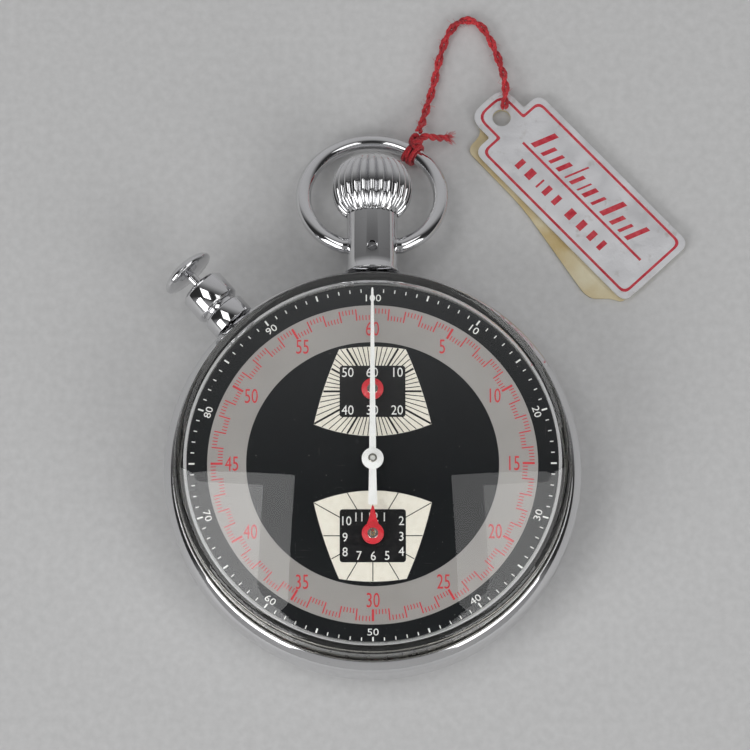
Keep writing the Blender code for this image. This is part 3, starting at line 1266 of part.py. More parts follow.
def tag():
    """A foil-faced card and the plain card folded behind it, lying almost flat."""
    holes = circle(TAG_HOLE_R, 16)
    front = flat("tag_front", [tag_outline(), holes], 0.75 * mm, TAG_T, FOIL, TAG_HOLE_AT)
    front.rotation_euler = (0, 0, TAG_BEARING)
    back = flat("tag_back", [leaf_outline(), holes], 0.1 * mm, TAG_T, CARD, TAG_HOLE_AT)
    back.rotation_euler = (0, 0, TAG_BEARING)


case_middle()
case_back()
bezel()
crystal()
pendant()
crown()
stem()
crown_spring()
bow()
pusher_tube()
pusher_button()
pusher_spring()
dial()
seconds_hand()
small_hand("minute_hand", MINUTES_AT, 2.2 * mm, 0.55 * mm, RED_PAINT)
small_hand("hour_hand", HOURS_AT, 3.7 * mm, 1.2 * mm, RED_PAINT)
mainplate()
barrel_bridge()
train_bridge()
train()
barrel()
recorders()
escapement()
winding()
control_work()
screws()
string()
string_knot()
tag()
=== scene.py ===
"""The looks of a mechanical stopwatch lying on a table, with a card tag tied to its bow.

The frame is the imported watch: +Y to the crown, +Z out through the dial, lengths in metres.
"""

import json
import math
import random

import bmesh
import bpy
from mathutils import Matrix, Vector


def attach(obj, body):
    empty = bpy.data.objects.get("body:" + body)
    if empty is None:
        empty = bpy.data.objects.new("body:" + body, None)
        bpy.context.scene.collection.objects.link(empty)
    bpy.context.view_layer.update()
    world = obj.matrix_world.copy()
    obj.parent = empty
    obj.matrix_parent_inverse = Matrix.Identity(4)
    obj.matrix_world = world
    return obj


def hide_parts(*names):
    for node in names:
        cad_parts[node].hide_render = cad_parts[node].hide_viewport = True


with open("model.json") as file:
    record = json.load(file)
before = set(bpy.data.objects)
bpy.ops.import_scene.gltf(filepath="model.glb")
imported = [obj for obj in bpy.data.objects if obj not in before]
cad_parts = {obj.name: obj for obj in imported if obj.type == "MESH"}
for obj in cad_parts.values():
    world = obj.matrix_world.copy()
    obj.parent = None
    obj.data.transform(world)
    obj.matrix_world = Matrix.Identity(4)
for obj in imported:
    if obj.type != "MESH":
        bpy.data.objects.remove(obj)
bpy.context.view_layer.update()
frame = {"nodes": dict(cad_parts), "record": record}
mm = 0.001

# ---------------------------------------------------------------- camera, table and lights
# The watch lies on a pale table. The camera looks down on it from the six o'clock side, and
# two soft boxes stand on that side, left and right, with two faint ones overhead.

look_down = math.radians(73.5)
camera_distance, camera_roll = 0.63, -0.002
looking = Vector((0, math.cos(look_down), -math.sin(look_down)))
upward = Vector((0, math.sin(look_down), math.cos(look_down)))
aim = Vector((0.33, 0, 11.5)) * mm + upward * 11.66 * mm
camera_data = bpy.data.cameras.new("camera")
camera_data.lens = 230.7
camera_data.sensor_width = 36
camera_data.clip_start = 0.05
camera = bpy.data.objects.new("camera", camera_data)
facing = Matrix((Vector((1, 0, 0)), upward, -looking)).transposed().to_4x4()
camera.matrix_world = (Matrix.Translation(aim - looking * camera_distance) @ facing
                       @ Matrix.Rotation(camera_roll, 4, "Z"))
bpy.context.scene.collection.objects.link(camera)
bpy.context.scene.camera = camera
bpy.context.scene.view_settings.view_transform = "Standard"

sharp_bend = math.radians(32)
same_spot = 0.0005 * mm


def linked(name, work, material):
    """The bmesh as a named object in the scene, smooth but for its sharp edges."""
    for face in work.faces:
        face.smooth = True
    mesh = bpy.data.meshes.new(name)
    work.to_mesh(mesh)
    work.free()
    mesh.set_sharp_from_angle(angle=sharp_bend)
    mesh.materials.append(material)
    made = bpy.data.objects.new(name, mesh)
    bpy.context.scene.collection.objects.link(made)
    return made


def blank_material(name, colour, roughness, metallic):
    """A named material, its shader, its node tree and the place on the object."""
    made = bpy.data.materials.new(name)
    made.use_nodes = True
    tree = made.node_tree
    shader = tree.nodes["Principled BSDF"]
    shader.inputs["Base Color"].default_value = (*colour, 1)
    shader.inputs["Roughness"].default_value = roughness
    shader.inputs["Metallic"].default_value = metallic
    return made, shader, tree, tree.nodes.new("ShaderNodeTexCoord").outputs["Object"]


def node(tree, kind, **values):
    """A node with its inputs, named by socket, and its settings."""
    made = tree.nodes.new(kind)
    for name, value in values.items():
        if name in made.inputs:
            made.inputs[name].default_value = value
        else:
            setattr(made, name, value)
    return made


def from_noise(tree, coordinates, scale, detail, stretch=(1, 1, 1)):
    """Noise on the given coordinates, stretched along an axis where its factor is small."""
    mapping = node(tree, "ShaderNodeMapping", Scale=stretch)
    tree.links.new(coordinates, mapping.inputs["Vector"])
    noise = node(tree, "ShaderNodeTexNoise", Scale=scale, Detail=detail)
    tree.links.new(mapping.outputs["Vector"], noise.inputs["Vector"])
    return noise.outputs["Fac"]


def ranged(tree, value, low, high, to_low, to_high):
    """The value, moved from one range to another and held inside it."""
    made = tree.nodes.new("ShaderNodeMapRange")
    made.clamp = True
    for socket, number in zip(("From Min", "From Max", "To Min", "To Max"), (low, high, to_low, to_high)):
        made.inputs[socket].default_value = number
    tree.links.new(value, made.inputs["Value"])
    return made.outputs["Result"]


def mixed(tree, share, first, second):
    """A colour between two colours, by the share."""
    made = tree.nodes.new("ShaderNodeMix")
    made.data_type = "RGBA"
    made.inputs["A"].default_value = (*first, 1)
    made.inputs["B"].default_value = (*second, 1)
    tree.links.new(share, made.inputs["Factor"])
    return made.outputs["Result"]


def combined(tree, operation, first, second):
    """Two values made one: their sum, their product or the larger."""
    made = node(tree, "ShaderNodeMath", operation=operation)
    tree.links.new(first, made.inputs[0])
    tree.links.new(second, made.inputs[1])
    return made.outputs["Value"]


def coloured(tree, shader, value, low, high, first, second):
    """Colours the surface between two colours, as the value goes from low to high."""
    share = ranged(tree, value, low, high, 0, 1)
    tree.links.new(mixed(tree, share, first, second), shader.inputs["Base Color"])


def roughened(tree, shader, value, low, high, smooth, rough):
    """Roughens the surface, as the value goes from low to high."""
    tree.links.new(ranged(tree, value, low, high, smooth, rough), shader.inputs["Roughness"])


def bumped(tree, shader, height, strength, distance):
    """Raises the surface by the height."""
    bump = node(tree, "ShaderNodeBump", Strength=strength, Distance=distance)
    tree.links.new(height, bump.inputs["Height"])
    tree.links.new(bump.outputs["Normal"], shader.inputs["Normal"])


table_paper, shader, tree, place = blank_material("table_paper", (0.43, 0.43, 0.42), 0.8, 0)
fibre = from_noise(tree, place, 900, 6)
coloured(tree, shader, fibre, 0.3, 0.7, (0.55, 0.55, 0.55), (0.61, 0.61, 0.61))
bumped(tree, shader, fibre, 0.25, 0.0001)
work = bmesh.new()
bmesh.ops.create_grid(work, x_segments=1, y_segments=1, size=1.5,
                      matrix=Matrix.Translation((0, 0, -0.02 * mm)))
table = linked("table", work, table_paper)

for spot, wide, deep, energy in (
        ((-0.39, 0.02, 0.93), 0.44, 0.42, 1.45),
        ((0.40, 0.02, 0.93), 0.44, 0.44, 1.0),
        ((-0.8, -0.7, 0.55), 0.8, 0.65, 7.0),
        ((0.8, -0.7, 0.55), 0.8, 0.65, 5.0)):
    box_data = bpy.data.lights.new("soft_box", "AREA")
    box_data.shape = "RECTANGLE"
    box_data.size = wide
    box_data.size_y = deep
    box_data.energy = energy
    soft_box = bpy.data.objects.new("soft_box", box_data)
    soft_box.location = spot
    soft_box.rotation_euler = (-Vector(spot)).to_track_quat("-Z", "Y").to_euler()
    bpy.context.scene.collection.objects.link(soft_box)

# The room is dark overhead and lighter towards its near and far walls.
room = bpy.data.worlds.new("room")
room.use_nodes = True
tree = room.node_tree
background = tree.nodes["Background"]
direction = tree.nodes.new("ShaderNodeTexCoord").outputs["Generated"]
depth = tree.nodes.new("ShaderNodeSeparateXYZ")
tree.links.new(direction, depth.inputs["Vector"])
ramp = tree.nodes.new("ShaderNodeValToRGB")
ramp.color_ramp.elements[0].position = 0.0
ramp.color_ramp.elements[0].color = (0.42, 0.42, 0.42, 1)
ramp.color_ramp.elements[1].position = 1.0
ramp.color_ramp.elements[1].color = (0.50, 0.50, 0.51, 1)
for position, shade in ((0.30, 0.25), (0.38, 0.03), (0.60, 0.03), (0.68, 0.16), (0.80, 0.42)):
    ramp.color_ramp.elements.new(position).color = (shade, shade, shade * 1.01, 1)
tree.links.new(ranged(tree, depth.outputs["Y"], -1, 1, 0, 1), ramp.inputs["Fac"])
tree.links.new(ramp.outputs["Color"], background.inputs["Color"])
background.inputs["Strength"].default_value = 1.0
bpy.context.scene.world = room

# ---------------------------------------------------------------- tag string
# Red cotton, two twisted strands of two plies each, doubled back through the tag's hole. It
# leaves the knot on the bow, loops out over the table and comes down on the tag's tab.

cord_route = [Vector(point) * mm for point in (
    (6.3, 48.8, 3.8), (6.8, 50.5, 2.3), (7.4, 53.0, 1.0), (8.35, 56.4, 0.72), (9.3, 60.6, 0.72),
    (10.4, 63.9, 0.72), (11.9, 65.7, 0.72), (13.6, 66.0, 0.72), (15.2, 64.9, 0.72), (16.6, 62.3, 0.72),
    (17.7, 59.0, 0.95), (18.2, 56.2, 1.8), (18.0, 52.7, 1.95))]


def smooth_path(points, steps):
    """Points on a smooth curve through the given ones."""
    padded = [2 * points[0] - points[1]] + points + [2 * points[-1] - points[-2]]
    found = []
    for before, a, b, after in zip(padded, padded[1:], padded[2:], padded[3:]):
        for k in range(steps):
            t = k / steps
            found.append(0.5 * (2 * a + (b - before) * t + (2 * before - 5 * a + 4 * b - after) * t**2
                                + (3 * a - before - 3 * b + after) * t**3))
    return found + [points[-1].copy()]


def wound(path, reach, pitch, start):
    """A path that winds round another one, reach away from it, a turn in every pitch."""
    side = Vector((0, 0, 1)).cross(path[1] - path[0]).normalized()
    found, run = [], 0.0
    for i, point in enumerate(path):
        along = (path[min(i + 1, len(path) - 1)] - path[max(i - 1, 0)]).normalized()
        side = (side - along * side.dot(along)).normalized()
        up = along.cross(side)
        run += (point - path[i - 1]).length if i else 0.0
        angle = start + 2 * math.pi * run / pitch
        found.append(point + (side * math.cos(angle) + up * math.sin(angle)) * reach)
    return found


def finished(piece, body, slot, *nodes):
    """Puts a made piece on its body, in place of the nodes it stands for."""
    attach(piece, body)
    if nodes:
        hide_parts(*nodes)
    return piece


def strands(work, paths, radius, sides=8):
    """Adds a round strand along each path to the bmesh, a little thinner at its very ends."""
    curve = bpy.data.curves.new("strand", "CURVE")
    curve.dimensions = "3D"
    curve.bevel_depth = radius
    curve.fill_mode = "FULL"
    curve.bevel_resolution = max(0, sides // 2 - 2)
    curve.use_fill_caps = True
    for path in paths:
        spline = curve.splines.new("POLY")
        spline.points.add(len(path) - 1)
        for i, (point, at) in enumerate(zip(spline.points, path)):
            point.co = (*at, 1)
            point.radius = 0.55 if i in (0, len(path) - 1) else 1.0
    holder = bpy.data.objects.new("strand", curve)
    mesh = bpy.data.meshes.new_from_object(holder)
    work.from_mesh(mesh)
    bpy.data.objects.remove(holder)
    bpy.data.curves.remove(curve)
    bpy.data.meshes.remove(mesh)


cotton, shader, tree, place = blank_material("red_cotton", (0.42, 0.02, 0.03), 0.85, 0)
fibres = from_noise(tree, place, 5200, 5)
patches = from_noise(tree, place, 420, 3)
blend = combined(tree, "MULTIPLY", fibres, ranged(tree, patches, 0.3, 0.7, 0.7, 1.3))
coloured(tree, shader, blend, 0.3, 0.75, (0.30, 0.008, 0.016), (0.74, 0.04, 0.05))
shader.inputs["Sheen Weight"].default_value = 0.25
shader.inputs["Sheen Roughness"].default_value = 0.5
bumped(tree, shader, fibres, 0.7, 0.00008)

path = smooth_path(cord_route, 14)
work = bmesh.new()
hairs = random.Random(4)
hair_root = 0.35 * mm
legs = [wound(path, 0.28 * mm, 5.0 * mm, half) for half in (0, math.pi)]
strands(work, [wound(leg, 0.12 * mm, -1.7 * mm, ply) for leg in legs for ply in (0, math.pi)], 0.2 * mm)
fuzz = []
for _ in range(110):
    spot = path[hairs.randrange(4, len(path) - 4)]
    lean = Vector((hairs.uniform(-1, 1), hairs.uniform(-1, 1), hairs.uniform(0.0, 1))).normalized()
    bend = Vector((hairs.uniform(-1, 1), hairs.uniform(-1, 1), 0)) * 0.3 * mm
    reach = hairs.uniform(0.5, 1.0) * mm
    fuzz.append([spot + lean * hair_root, spot + lean * (hair_root + reach * 0.5) + bend * 0.4,
                 spot + lean * (hair_root + reach) + bend])
strands(work, fuzz, 0.016 * mm, 4)
string = finished(linked("tag_string", work, cotton), "bow_and_tag", "red_cotton", "string")

# ---------------------------------------------------------------- knot on the bow
# The string's end is wrapped twice round the bow's wire and pulled tight in a small knot, and
# its cut end sticks out and frays.

stem_z = 7.005 * mm
bow_at = Vector((0, 31.5 * mm, stem_z))
bow_reach, bow_r, wire_r = 8.35 * mm, 9.3 * mm, 1.05 * mm
bow_tilt = math.asin((bow_at.z - wire_r - 0.05 * mm) / (bow_reach + bow_r))
lean = Matrix.Rotation(-bow_tilt, 3, "X")


def on_bow(angle):
    """The middle of the bow's wire, at the angle round its ring from the far side."""
    return bow_at + lean @ Vector((bow_r * math.sin(angle), bow_reach + bow_r * math.cos(angle), 0))


knot_at = on_bow(math.radians(36.7))
wrap_r = wire_r + 0.33 * mm
along = (on_bow(math.radians(40)) - on_bow(math.radians(35))).normalized()
out = Vector((0.15, 0.55, 0.8)).normalized()
out = (out - along * out.dot(along)).normalized()
across = along.cross(out)
work = bmesh.new()
turns = []
for shift, tilt in ((-0.62, 0.25), (-0.1, -0.15), (0.45, 0.1)):
    turns.append([knot_at + along * (shift * mm + tilt * mm * math.cos(a))
                  + (out * math.cos(a) + across * math.sin(a)) * wrap_r
                  for a in (2 * math.pi * i / 28 for i in range(29))])
strands(work, turns, 0.29 * mm)
lump = knot_at + out * (wire_r + 0.95 * mm)
turns = []
for start, lift, wide in ((0.0, 0.25, 0.62), (1.9, -0.2, 0.55), (3.6, 0.1, 0.6)):
    turns.append([lump + along * wide * mm * math.cos(a + start) * 1.1
                  + across * wide * mm * math.sin(a + start)
                  + out * (lift * mm + 0.45 * mm * math.sin(2 * a + start))
                  for a in (2 * math.pi * i / 22 for i in range(20))])
strands(work, turns, 0.33 * mm)
tail = smooth_path([lump, lump + Vector((1.2, 0.6, 0.5)) * mm, Vector((9.0, 48.3, 2.6)) * mm,
                    Vector((10.3, 48.7, 1.6)) * mm], 10)
strands(work, [wound(tail, 0.24 * mm, 2.6 * mm, half) for half in (0, math.pi)], 0.27 * mm)
fuzz = []
for _ in range(46):
    start = tail[-1] + Vector(
        (hairs.uniform(-0.5, 0.1), hairs.uniform(-0.35, 0.35), hairs.uniform(-0.3, 0.3))) * mm
    spread = Vector((hairs.uniform(0.3, 1.2), hairs.uniform(-0.9, 0.9), hairs.uniform(-0.5, 0.3))) * mm
    fuzz.append([start, start + spread * 0.5 + Vector((0, 0, 0.1 * mm)), start + spread])
strands(work, fuzz, 0.03 * mm, 4)
knot = finished(linked("bow_knot", work, cotton), "bow_and_tag", "red_cotton", "string_knot")

# ---------------------------------------------------------------- tag
# A folded tag: a card faced with silver foil and printed with a red border, and the plain
# card leaf behind it, yellowed with age. Both are punched for the string.

tag_length, tag_width, tag_thick = 29.4 * mm, 12.2 * mm, 0.3 * mm
tab_start, tab_width, hole_r = 1.0 * mm, 6.4 * mm, 1.25 * mm
tag_hole = Vector((17.65, 51.8, 0)) * mm
tag_bearing = math.radians(-47.0)


def rounded(corners, radius):
    """An outline whose corners are rounded, each by the radius or its own."""
    found, steps = [], 5
    for i, corner in enumerate(corners):
        at = Vector(corner[:2])
        own = corner[2] if len(corner) > 2 else radius
        before = (Vector(corners[i - 1][:2]) - at).normalized()
        after = (Vector(corners[(i + 1) % len(corners)][:2]) - at).normalized()
        start, end = at + before * own, at + after * own
        for k in range(steps + 1):
            t = k / steps
            found.append((1 - t) ** 2 * start + 2 * t * (1 - t) * at + t**2 * end)
    return found


def tag_outline(inset):
    """The card's outline, its hole at the origin and its length along +X."""
    half, tab = tag_width / 2 - inset, tab_width / 2 - inset
    start, end = tab_start + inset, tab_start + tag_length - inset
    corner, nook, tip = 1.5 * mm - inset * 0.5, 0.35 * mm, 2.3 * mm - inset * 0.8
    return rounded([
        (-tab, -tab, tip), (start, -tab, nook), (start, -half, corner), (end, -half, corner),
        (end, half, corner), (start, half, corner), (start, tab, nook), (-tab, tab, tip)], corner)


def leaf_outline():
    """The outline of the leaf behind, whose lower side is creased and springs out."""
    half, tab = tag_width / 2, tab_width / 2
    start, end = tab_start, tab_start + tag_length
    return rounded([
        (start + 0.6 * mm, half - 0.4 * mm), (end - 0.4 * mm, half - 0.4 * mm),
        (end - 0.4 * mm, -half, 0.5 * mm),
        (end - 1.8 * mm, -half - 0.8 * mm, 0.5 * mm), (end - 3.6 * mm, -half - 2.7 * mm, 0.7 * mm),
        (end - 5.0 * mm, -half - 2.9 * mm, 0.5 * mm), (start + 10.0 * mm, -half - 0.5 * mm, 3.0 * mm),
        (start - 1.0 * mm, -half - 0.4 * mm, 1.2 * mm), (start - 1.3 * mm, -tab - 0.3 * mm, 1.0 * mm),
        (-0.75 * tab, -0.75 * tab, 0.8 * mm), (-tab, 0, 1.2 * mm), (-0.7 * tab, 0.7 * tab, 0.8 * mm),
        (0, tab, 0.5 * mm), (start, tab, 0.3 * mm)], 0.9 * mm)


def mesh_of(curve):
    """The mesh of an outline or of a text."""
    holder = bpy.data.objects.new("outline", curve)
    bpy.context.scene.collection.objects.link(holder)
    bpy.context.view_layer.update()
    mesh = bpy.data.meshes.new_from_object(holder.evaluated_get(bpy.context.evaluated_depsgraph_get()))
    bpy.data.objects.remove(holder, do_unlink=True)
    return mesh


def sheet_piece(work, outlines, low, thick, matrix):
    """Adds a flat piece to the bmesh: the first outline filled, less the ones inside it."""
    curve = bpy.data.curves.new("outline", "CURVE")
    curve.dimensions = "2D"
    curve.fill_mode = "BOTH"
    curve.extrude = thick / 2
    for outline in outlines:
        spline = curve.splines.new("POLY")
        spline.points.add(len(outline) - 1)
        spline.use_cyclic_u = True
        for point, at in zip(spline.points, outline):
            point.co = (at[0], at[1], 0, 1)
    mesh = mesh_of(curve)
    mesh.transform(matrix @ Matrix.Translation((0, 0, low + thick / 2)))
    piece = bmesh.new()
    piece.from_mesh(mesh)
    bmesh.ops.remove_doubles(piece, verts=piece.verts, dist=0.0002 * mm)
    bmesh.ops.recalc_face_normals(piece, faces=piece.faces)
    piece.to_mesh(mesh)
    piece.free()
    work.from_mesh(mesh)
    bpy.data.meshes.remove(mesh)


tag_place = Matrix.Translation(tag_hole) @ Matrix.Rotation(tag_bearing, 4, "Z")
punched = [Vector((hole_r * math.cos(2 * math.pi * i / 48), hole_r * math.sin(2 * math.pi * i / 48)))
           for i in range(48)]

foil, shader, tree, place = blank_material("tag_foil", (0.80, 0.80, 0.82), 0.34, 0.6)
crinkle = from_noise(tree, place, 330, 8)
fine = from_noise(tree, place, 4200, 4)
spots = from_noise(tree, place, 700, 2)
coloured(tree, shader, spots, 0.62, 0.8, (0.82, 0.82, 0.84), (0.62, 0.60, 0.58))
roughened(tree, shader, crinkle, 0.3, 0.7, 0.28, 0.5)
bumped(tree, shader, combined(tree, "ADD", crinkle, ranged(tree, fine, 0, 1, 0, 0.12)), 0.5, 0.0003)

card, shader, tree, place = blank_material("tag_card", (0.62, 0.52, 0.30), 0.85, 0)
stain = from_noise(tree, place, 160, 6)
fibre = from_noise(tree, place, 2600, 5, (1, 3, 1))
coloured(tree, shader, stain, 0.35, 0.65, (0.72, 0.66, 0.48), (0.55, 0.42, 0.2))
bumped(tree, shader, fibre, 0.3, 0.0001)

red_ink, shader, tree, place = blank_material("tag_red_ink", (0.5, 0.02, 0.04), 0.45, 0)
worn = from_noise(tree, place, 1500, 6)
coloured(tree, shader, worn, 0.35, 0.7, (0.48, 0.015, 0.035), (0.62, 0.07, 0.09))
roughened(tree, shader, worn, 0.3, 0.7, 0.35, 0.6)

card_low, leaf_low, print_thick = 0.75 * mm, 0.1 * mm, 0.012 * mm
tag_top = card_low + tag_thick
work = bmesh.new()
sheet_piece(work, [tag_outline(0), punched], card_low, tag_thick, tag_place)
front = finished(linked("tag_foil_card", work, foil), "bow_and_tag", "foil_card", "tag_front")
work = bmesh.new()
sheet_piece(work, [leaf_outline(), punched], leaf_low, tag_thick, tag_place)
leaf = finished(linked("tag_card_leaf", work, card), "bow_and_tag", "yellowed_card", "tag_back")
work = bmesh.new()
sheet_piece(work, [tag_outline(0.75 * mm), tag_outline(1.1 * mm)], tag_top, print_thick, tag_place)


def bar(work, left, right, low, high, slant=0.0):
    """Adds a printed bar to the card, between the given edges in millimetres."""
    lean_by = slant * (high - low)
    corners = ((left, low), (right, low), (right + lean_by, high), (left + lean_by, high))
    sheet_piece(work, [[Vector(corner) * mm for corner in corners]], tag_top, print_thick, tag_place)


# A rule, with a row of slanted bars above it and a row of small ones below, in place of words.
bar(work, 4.6, 27.6, -0.55, -0.2)
spot = 5.4
for width, high in (
        (1.5, 3.4), (1.1, 2.0), (1.0, 2.0), (1.3, 2.0), (0.5, 3.4), (1.1, 2.0), (0.5, 2.0),
        (1.3, 2.0), (0.9, 2.0), (0, 0), (1.5, 3.4), (1.2, 2.0), (0.9, 2.0), (1.3, 3.2)):
    if width:
        bar(work, spot, spot + width * 0.55, 0.3, 0.3 + high, 0.35)
    spot += width + 0.42
spot = 6.2
for width in (1.1, 1.5, 0.4, 1.1, 1.1, 0, 1.5, 1.3, 1.2, 1.0):
    if width:
        bar(work, spot, spot + width * 0.7, -3.5, -2.0)
    spot += width + 0.75
print_lines = finished(linked("tag_printing", work, red_ink), "bow_and_tag", "red_paint")

# ---------------------------------------------------------------- case
# Three turned brass shells, thickly chromed and polished: the middle, the snap-on back whose
# flat rests on the table, and the bezel. Handling has left hairlines on them.


def spun(section, steps):
    """A bmesh of a section, (radius, height) points in millimetres, spun round its axis."""
    work = bmesh.new()
    corners = [work.verts.new((radius * mm, 0, high * mm)) for radius, high in section]
    closed = section[0][0] > 0
    for first, second in zip(corners, corners[1:] + corners[:1] * closed):
        work.edges.new((first, second))
    bmesh.ops.spin(work, geom=work.verts[:] + work.edges[:], cent=(0, 0, 0), axis=(0, 0, 1),
                   angle=2 * math.pi, steps=steps, use_merge=True)
    bmesh.ops.remove_doubles(work, verts=work.verts, dist=same_spot)
    return work


def turned(name, section, material, bevel=0.04 * mm, steps=180, at=(0, 0, 0), towards=(0, 0, 1)):
    """Spins a section, eases its corners and puts it in place."""
    work = spun(section, steps)
    bmesh.ops.dissolve_degenerate(work, edges=work.edges, dist=same_spot)
    bmesh.ops.recalc_face_normals(work, faces=work.faces)
    rings = [edge for edge in work.edges
             if len(edge.link_faces) == 2 and edge.calc_face_angle(0) > 0.5
             and abs(edge.verts[0].co.z - edge.verts[1].co.z) < 0.0001 * mm]
    if bevel and rings:
        bmesh.ops.bevel(work, geom=rings, offset=bevel, offset_type="OFFSET", segments=3, profile=0.5,
                        affect="EDGES", clamp_overlap=True, material=-1)
    turn = Vector((0, 0, 1)).rotation_difference(Vector(towards)).to_matrix().to_4x4()
    bmesh.ops.transform(work, matrix=Matrix.Translation(at) @ turn, verts=work.verts)
    return linked(name, work, material)


def new_group(name, inputs, outputs):
    """An empty shader node group with the named value inputs and outputs."""
    group = bpy.data.node_groups.new(name, "ShaderNodeTree")
    for socket, default in inputs:
        made = group.interface.new_socket(name=socket, in_out="INPUT", socket_type="NodeSocketFloat")
        made.default_value = default
    for socket in outputs:
        group.interface.new_socket(name=socket, in_out="OUTPUT", socket_type="NodeSocketFloat")
    return group, group.nodes.new("NodeGroupInput"), group.nodes.new("NodeGroupOutput")


hairlines, asked, given = new_group("hairlines", [("Scale", 1.0)], ["Mask", "Smudge"])
place = hairlines.nodes.new("ShaderNodeTexCoord").outputs["Object"]
scaled = node(hairlines, "ShaderNodeVectorMath", operation="SCALE")
hairlines.links.new(place, scaled.inputs[0])
hairlines.links.new(asked.outputs["Scale"], scaled.inputs["Scale"])
sets = []
for stretch, turn in (((1, 18, 4), 0.4), ((16, 1, 4), -0.3), ((5, 14, 1), 1.1)):
    mapping = node(hairlines, "ShaderNodeMapping", Scale=stretch, Rotation=(0, 0, turn))
    hairlines.links.new(scaled.outputs["Vector"], mapping.inputs["Vector"])
    noise = node(hairlines, "ShaderNodeTexNoise", Scale=260, Detail=3)
    hairlines.links.new(mapping.outputs["Vector"], noise.inputs["Vector"])
    sets.append(ranged(hairlines, noise.outputs["Fac"], 0.70, 0.75, 0, 1))
most = sets[0]
for other in sets[1:]:
    most = combined(hairlines, "MAXIMUM", most, other)
hairlines.links.new(most, given.inputs["Mask"])
smudge = node(hairlines, "ShaderNodeTexNoise", Scale=95, Detail=4)
hairlines.links.new(scaled.outputs["Vector"], smudge.inputs["Vector"])
hairlines.links.new(ranged(hairlines, smudge.outputs["Fac"], 0.4, 0.75, 0, 1), given.inputs["Smudge"])


def handled(tree, scale):
    """The hairlines and smudges that handling leaves, as a mask of each."""
    marks = node(tree, "ShaderNodeGroup", node_tree=hairlines)
    marks.inputs["Scale"].default_value = scale
    return marks.outputs["Mask"], marks.outputs["Smudge"]


def worn_metal(name, colour, dull, roughness, rough_most, scale=1.0):
    """Polished metal with hairlines and smudges, which dull it a little."""
    made, shader, tree, _ = blank_material(name, colour, roughness, 1)
    scratches, smudges = handled(tree, scale)
    both = combined(tree, "MAXIMUM", scratches, ranged(tree, smudges, 0, 1, 0, 0.6))
    roughened(tree, shader, both, 0, 1, roughness, rough_most)
    tree.links.new(mixed(tree, both, colour, dull), shader.inputs["Base Color"])
    bumped(tree, shader, scratches, 0.03, 0.00001)
    return made


chrome = worn_metal("polished_chrome", (0.74, 0.74, 0.75), (0.66, 0.66, 0.67), 0.05, 0.16)


def arc(at, radius, first, last, steps=6):
    """(radius, height) points round part of a circle, the angles in degrees from outwards."""
    return [(at[0] + radius * math.cos(math.radians(first + (last - first) * i / steps)),
             at[1] + radius * math.sin(math.radians(first + (last - first) * i / steps)))
            for i in range(steps + 1)]


middle = turned("case_band", [
    (26.2, 8.75), (26.2, 8.25), (26.75, 8.22)]
    + arc((26.85, 7.75), 0.45, 80, 0)
    + arc((26.3, 4.2), 1.0, 0, -72)
    + [(26.45, 3.05), (25.5, 3.05), (25.5, 3.95), (22.9, 3.95),
       (22.9, 7.7), (24.9, 7.7), (24.9, 8.75)], chrome)
finished(middle, "case", "chrome", "case_middle")

back = turned("case_back_shell", [
    (0, 0.8), (18.5, 0.8), (24.0, 2.4), (24.6, 3.85), (25.4, 3.85),
    (25.4, 2.95), (26.7, 2.95), (26.85, 2.85), (26.72, 2.45),
    (26.1, 1.72), (25.0, 1.05), (23.5, 0.55), (21.6, 0.2),
    (20.2, 0.05), (19.0, 0), (0, 0)], chrome)
finished(back, "case", "chrome", "case_back")

rim = turned("bezel_ring", [
    (26.1, 9.95), (26.18, 10.08), (26.32, 10.08), (26.5, 9.93),
    (26.8, 9.6), (27.1, 9.26), (27.35, 8.95), (27.48, 8.72),
    (27.42, 8.56), (26.95, 8.4), (26.3, 8.35), (26.3, 8.85),
    (25.1, 8.85), (25.1, 9.25), (26.1, 9.25)], chrome)
finished(rim, "case", "chrome", "bezel")

# The step under the crystal isn't polished. It is coloured near black, slightly mottled, as painted shade:
# the shade between the crystal's wall and the bezel.
painted_seat_shade, shader, tree, place = blank_material("painted_shade_seat", (0.03, 0.03, 0.03), 0.7, 0.3)
shade_mottle = from_noise(tree, place, 900, 5)
coloured(tree, shader, shade_mottle, 0.3, 0.7, (0.008, 0.008, 0.008), (0.018, 0.018, 0.017))
seat_r, seat_low, seat_high = 26.16 * mm, 8.2 * mm, 9.9 * mm
# The faces of the step inside the band and the bezel get the near-black painted shade.
for shell in (middle, rim):
    shell.data.materials.append(painted_seat_shade)
    for face in shell.data.polygons:
        if face.center.xy.length < seat_r and seat_low < face.center.z < seat_high:
            face.material_index = 1

# ---------------------------------------------------------------- crystal
# Turned and polished acrylic with a domed top, a rounded shoulder and a deep wall that the
# bezel grips. Years in a pocket have left light scratches and specks.

acrylic, shader, tree, _ = blank_material("crystal_acrylic", (0.985, 0.99, 0.985), 0.01, 0)
shader.inputs["Transmission Weight"].default_value = 1.0
shader.inputs["IOR"].default_value = 1.49
scratches, _ = handled(tree, 0.7)
roughened(tree, shader, scratches, 0, 1, 0.004, 0.05)
rays = tree.nodes.new("ShaderNodeLightPath")
tree.links.new(ranged(tree, rays.outputs["Is Shadow Ray"], 0, 1, 1.0, 0.06), shader.inputs["Alpha"])

outer = [(25.0 * i / 20, 16.2 - 2.45 * (i / 20) ** 2) for i in range(21)]
inner = [(24.3 * i / 20, 15.05 - 1.8 * (i / 20) ** 2) for i in range(21)]
glass = turned("crystal_dome", outer[:-1] + arc((24.95, 12.75), 1.05, 74, 0)
               + [(26.0, 9.35), (24.7, 9.35), (24.7, 12.75)] + inner[::-1],
               acrylic, 0.06 * mm, 480)
finished(glass, "case", "acrylic", "crystal")

# ---------------------------------------------------------------- dial
# A brass disc lacquered black, with a satin silver ring for the seconds track. The scales and
# figures are printed in white and red, thick enough to feel.

dial_low, dial_high = 11.05, 11.5
dial_top = dial_high * mm
ink = 0.02 * mm


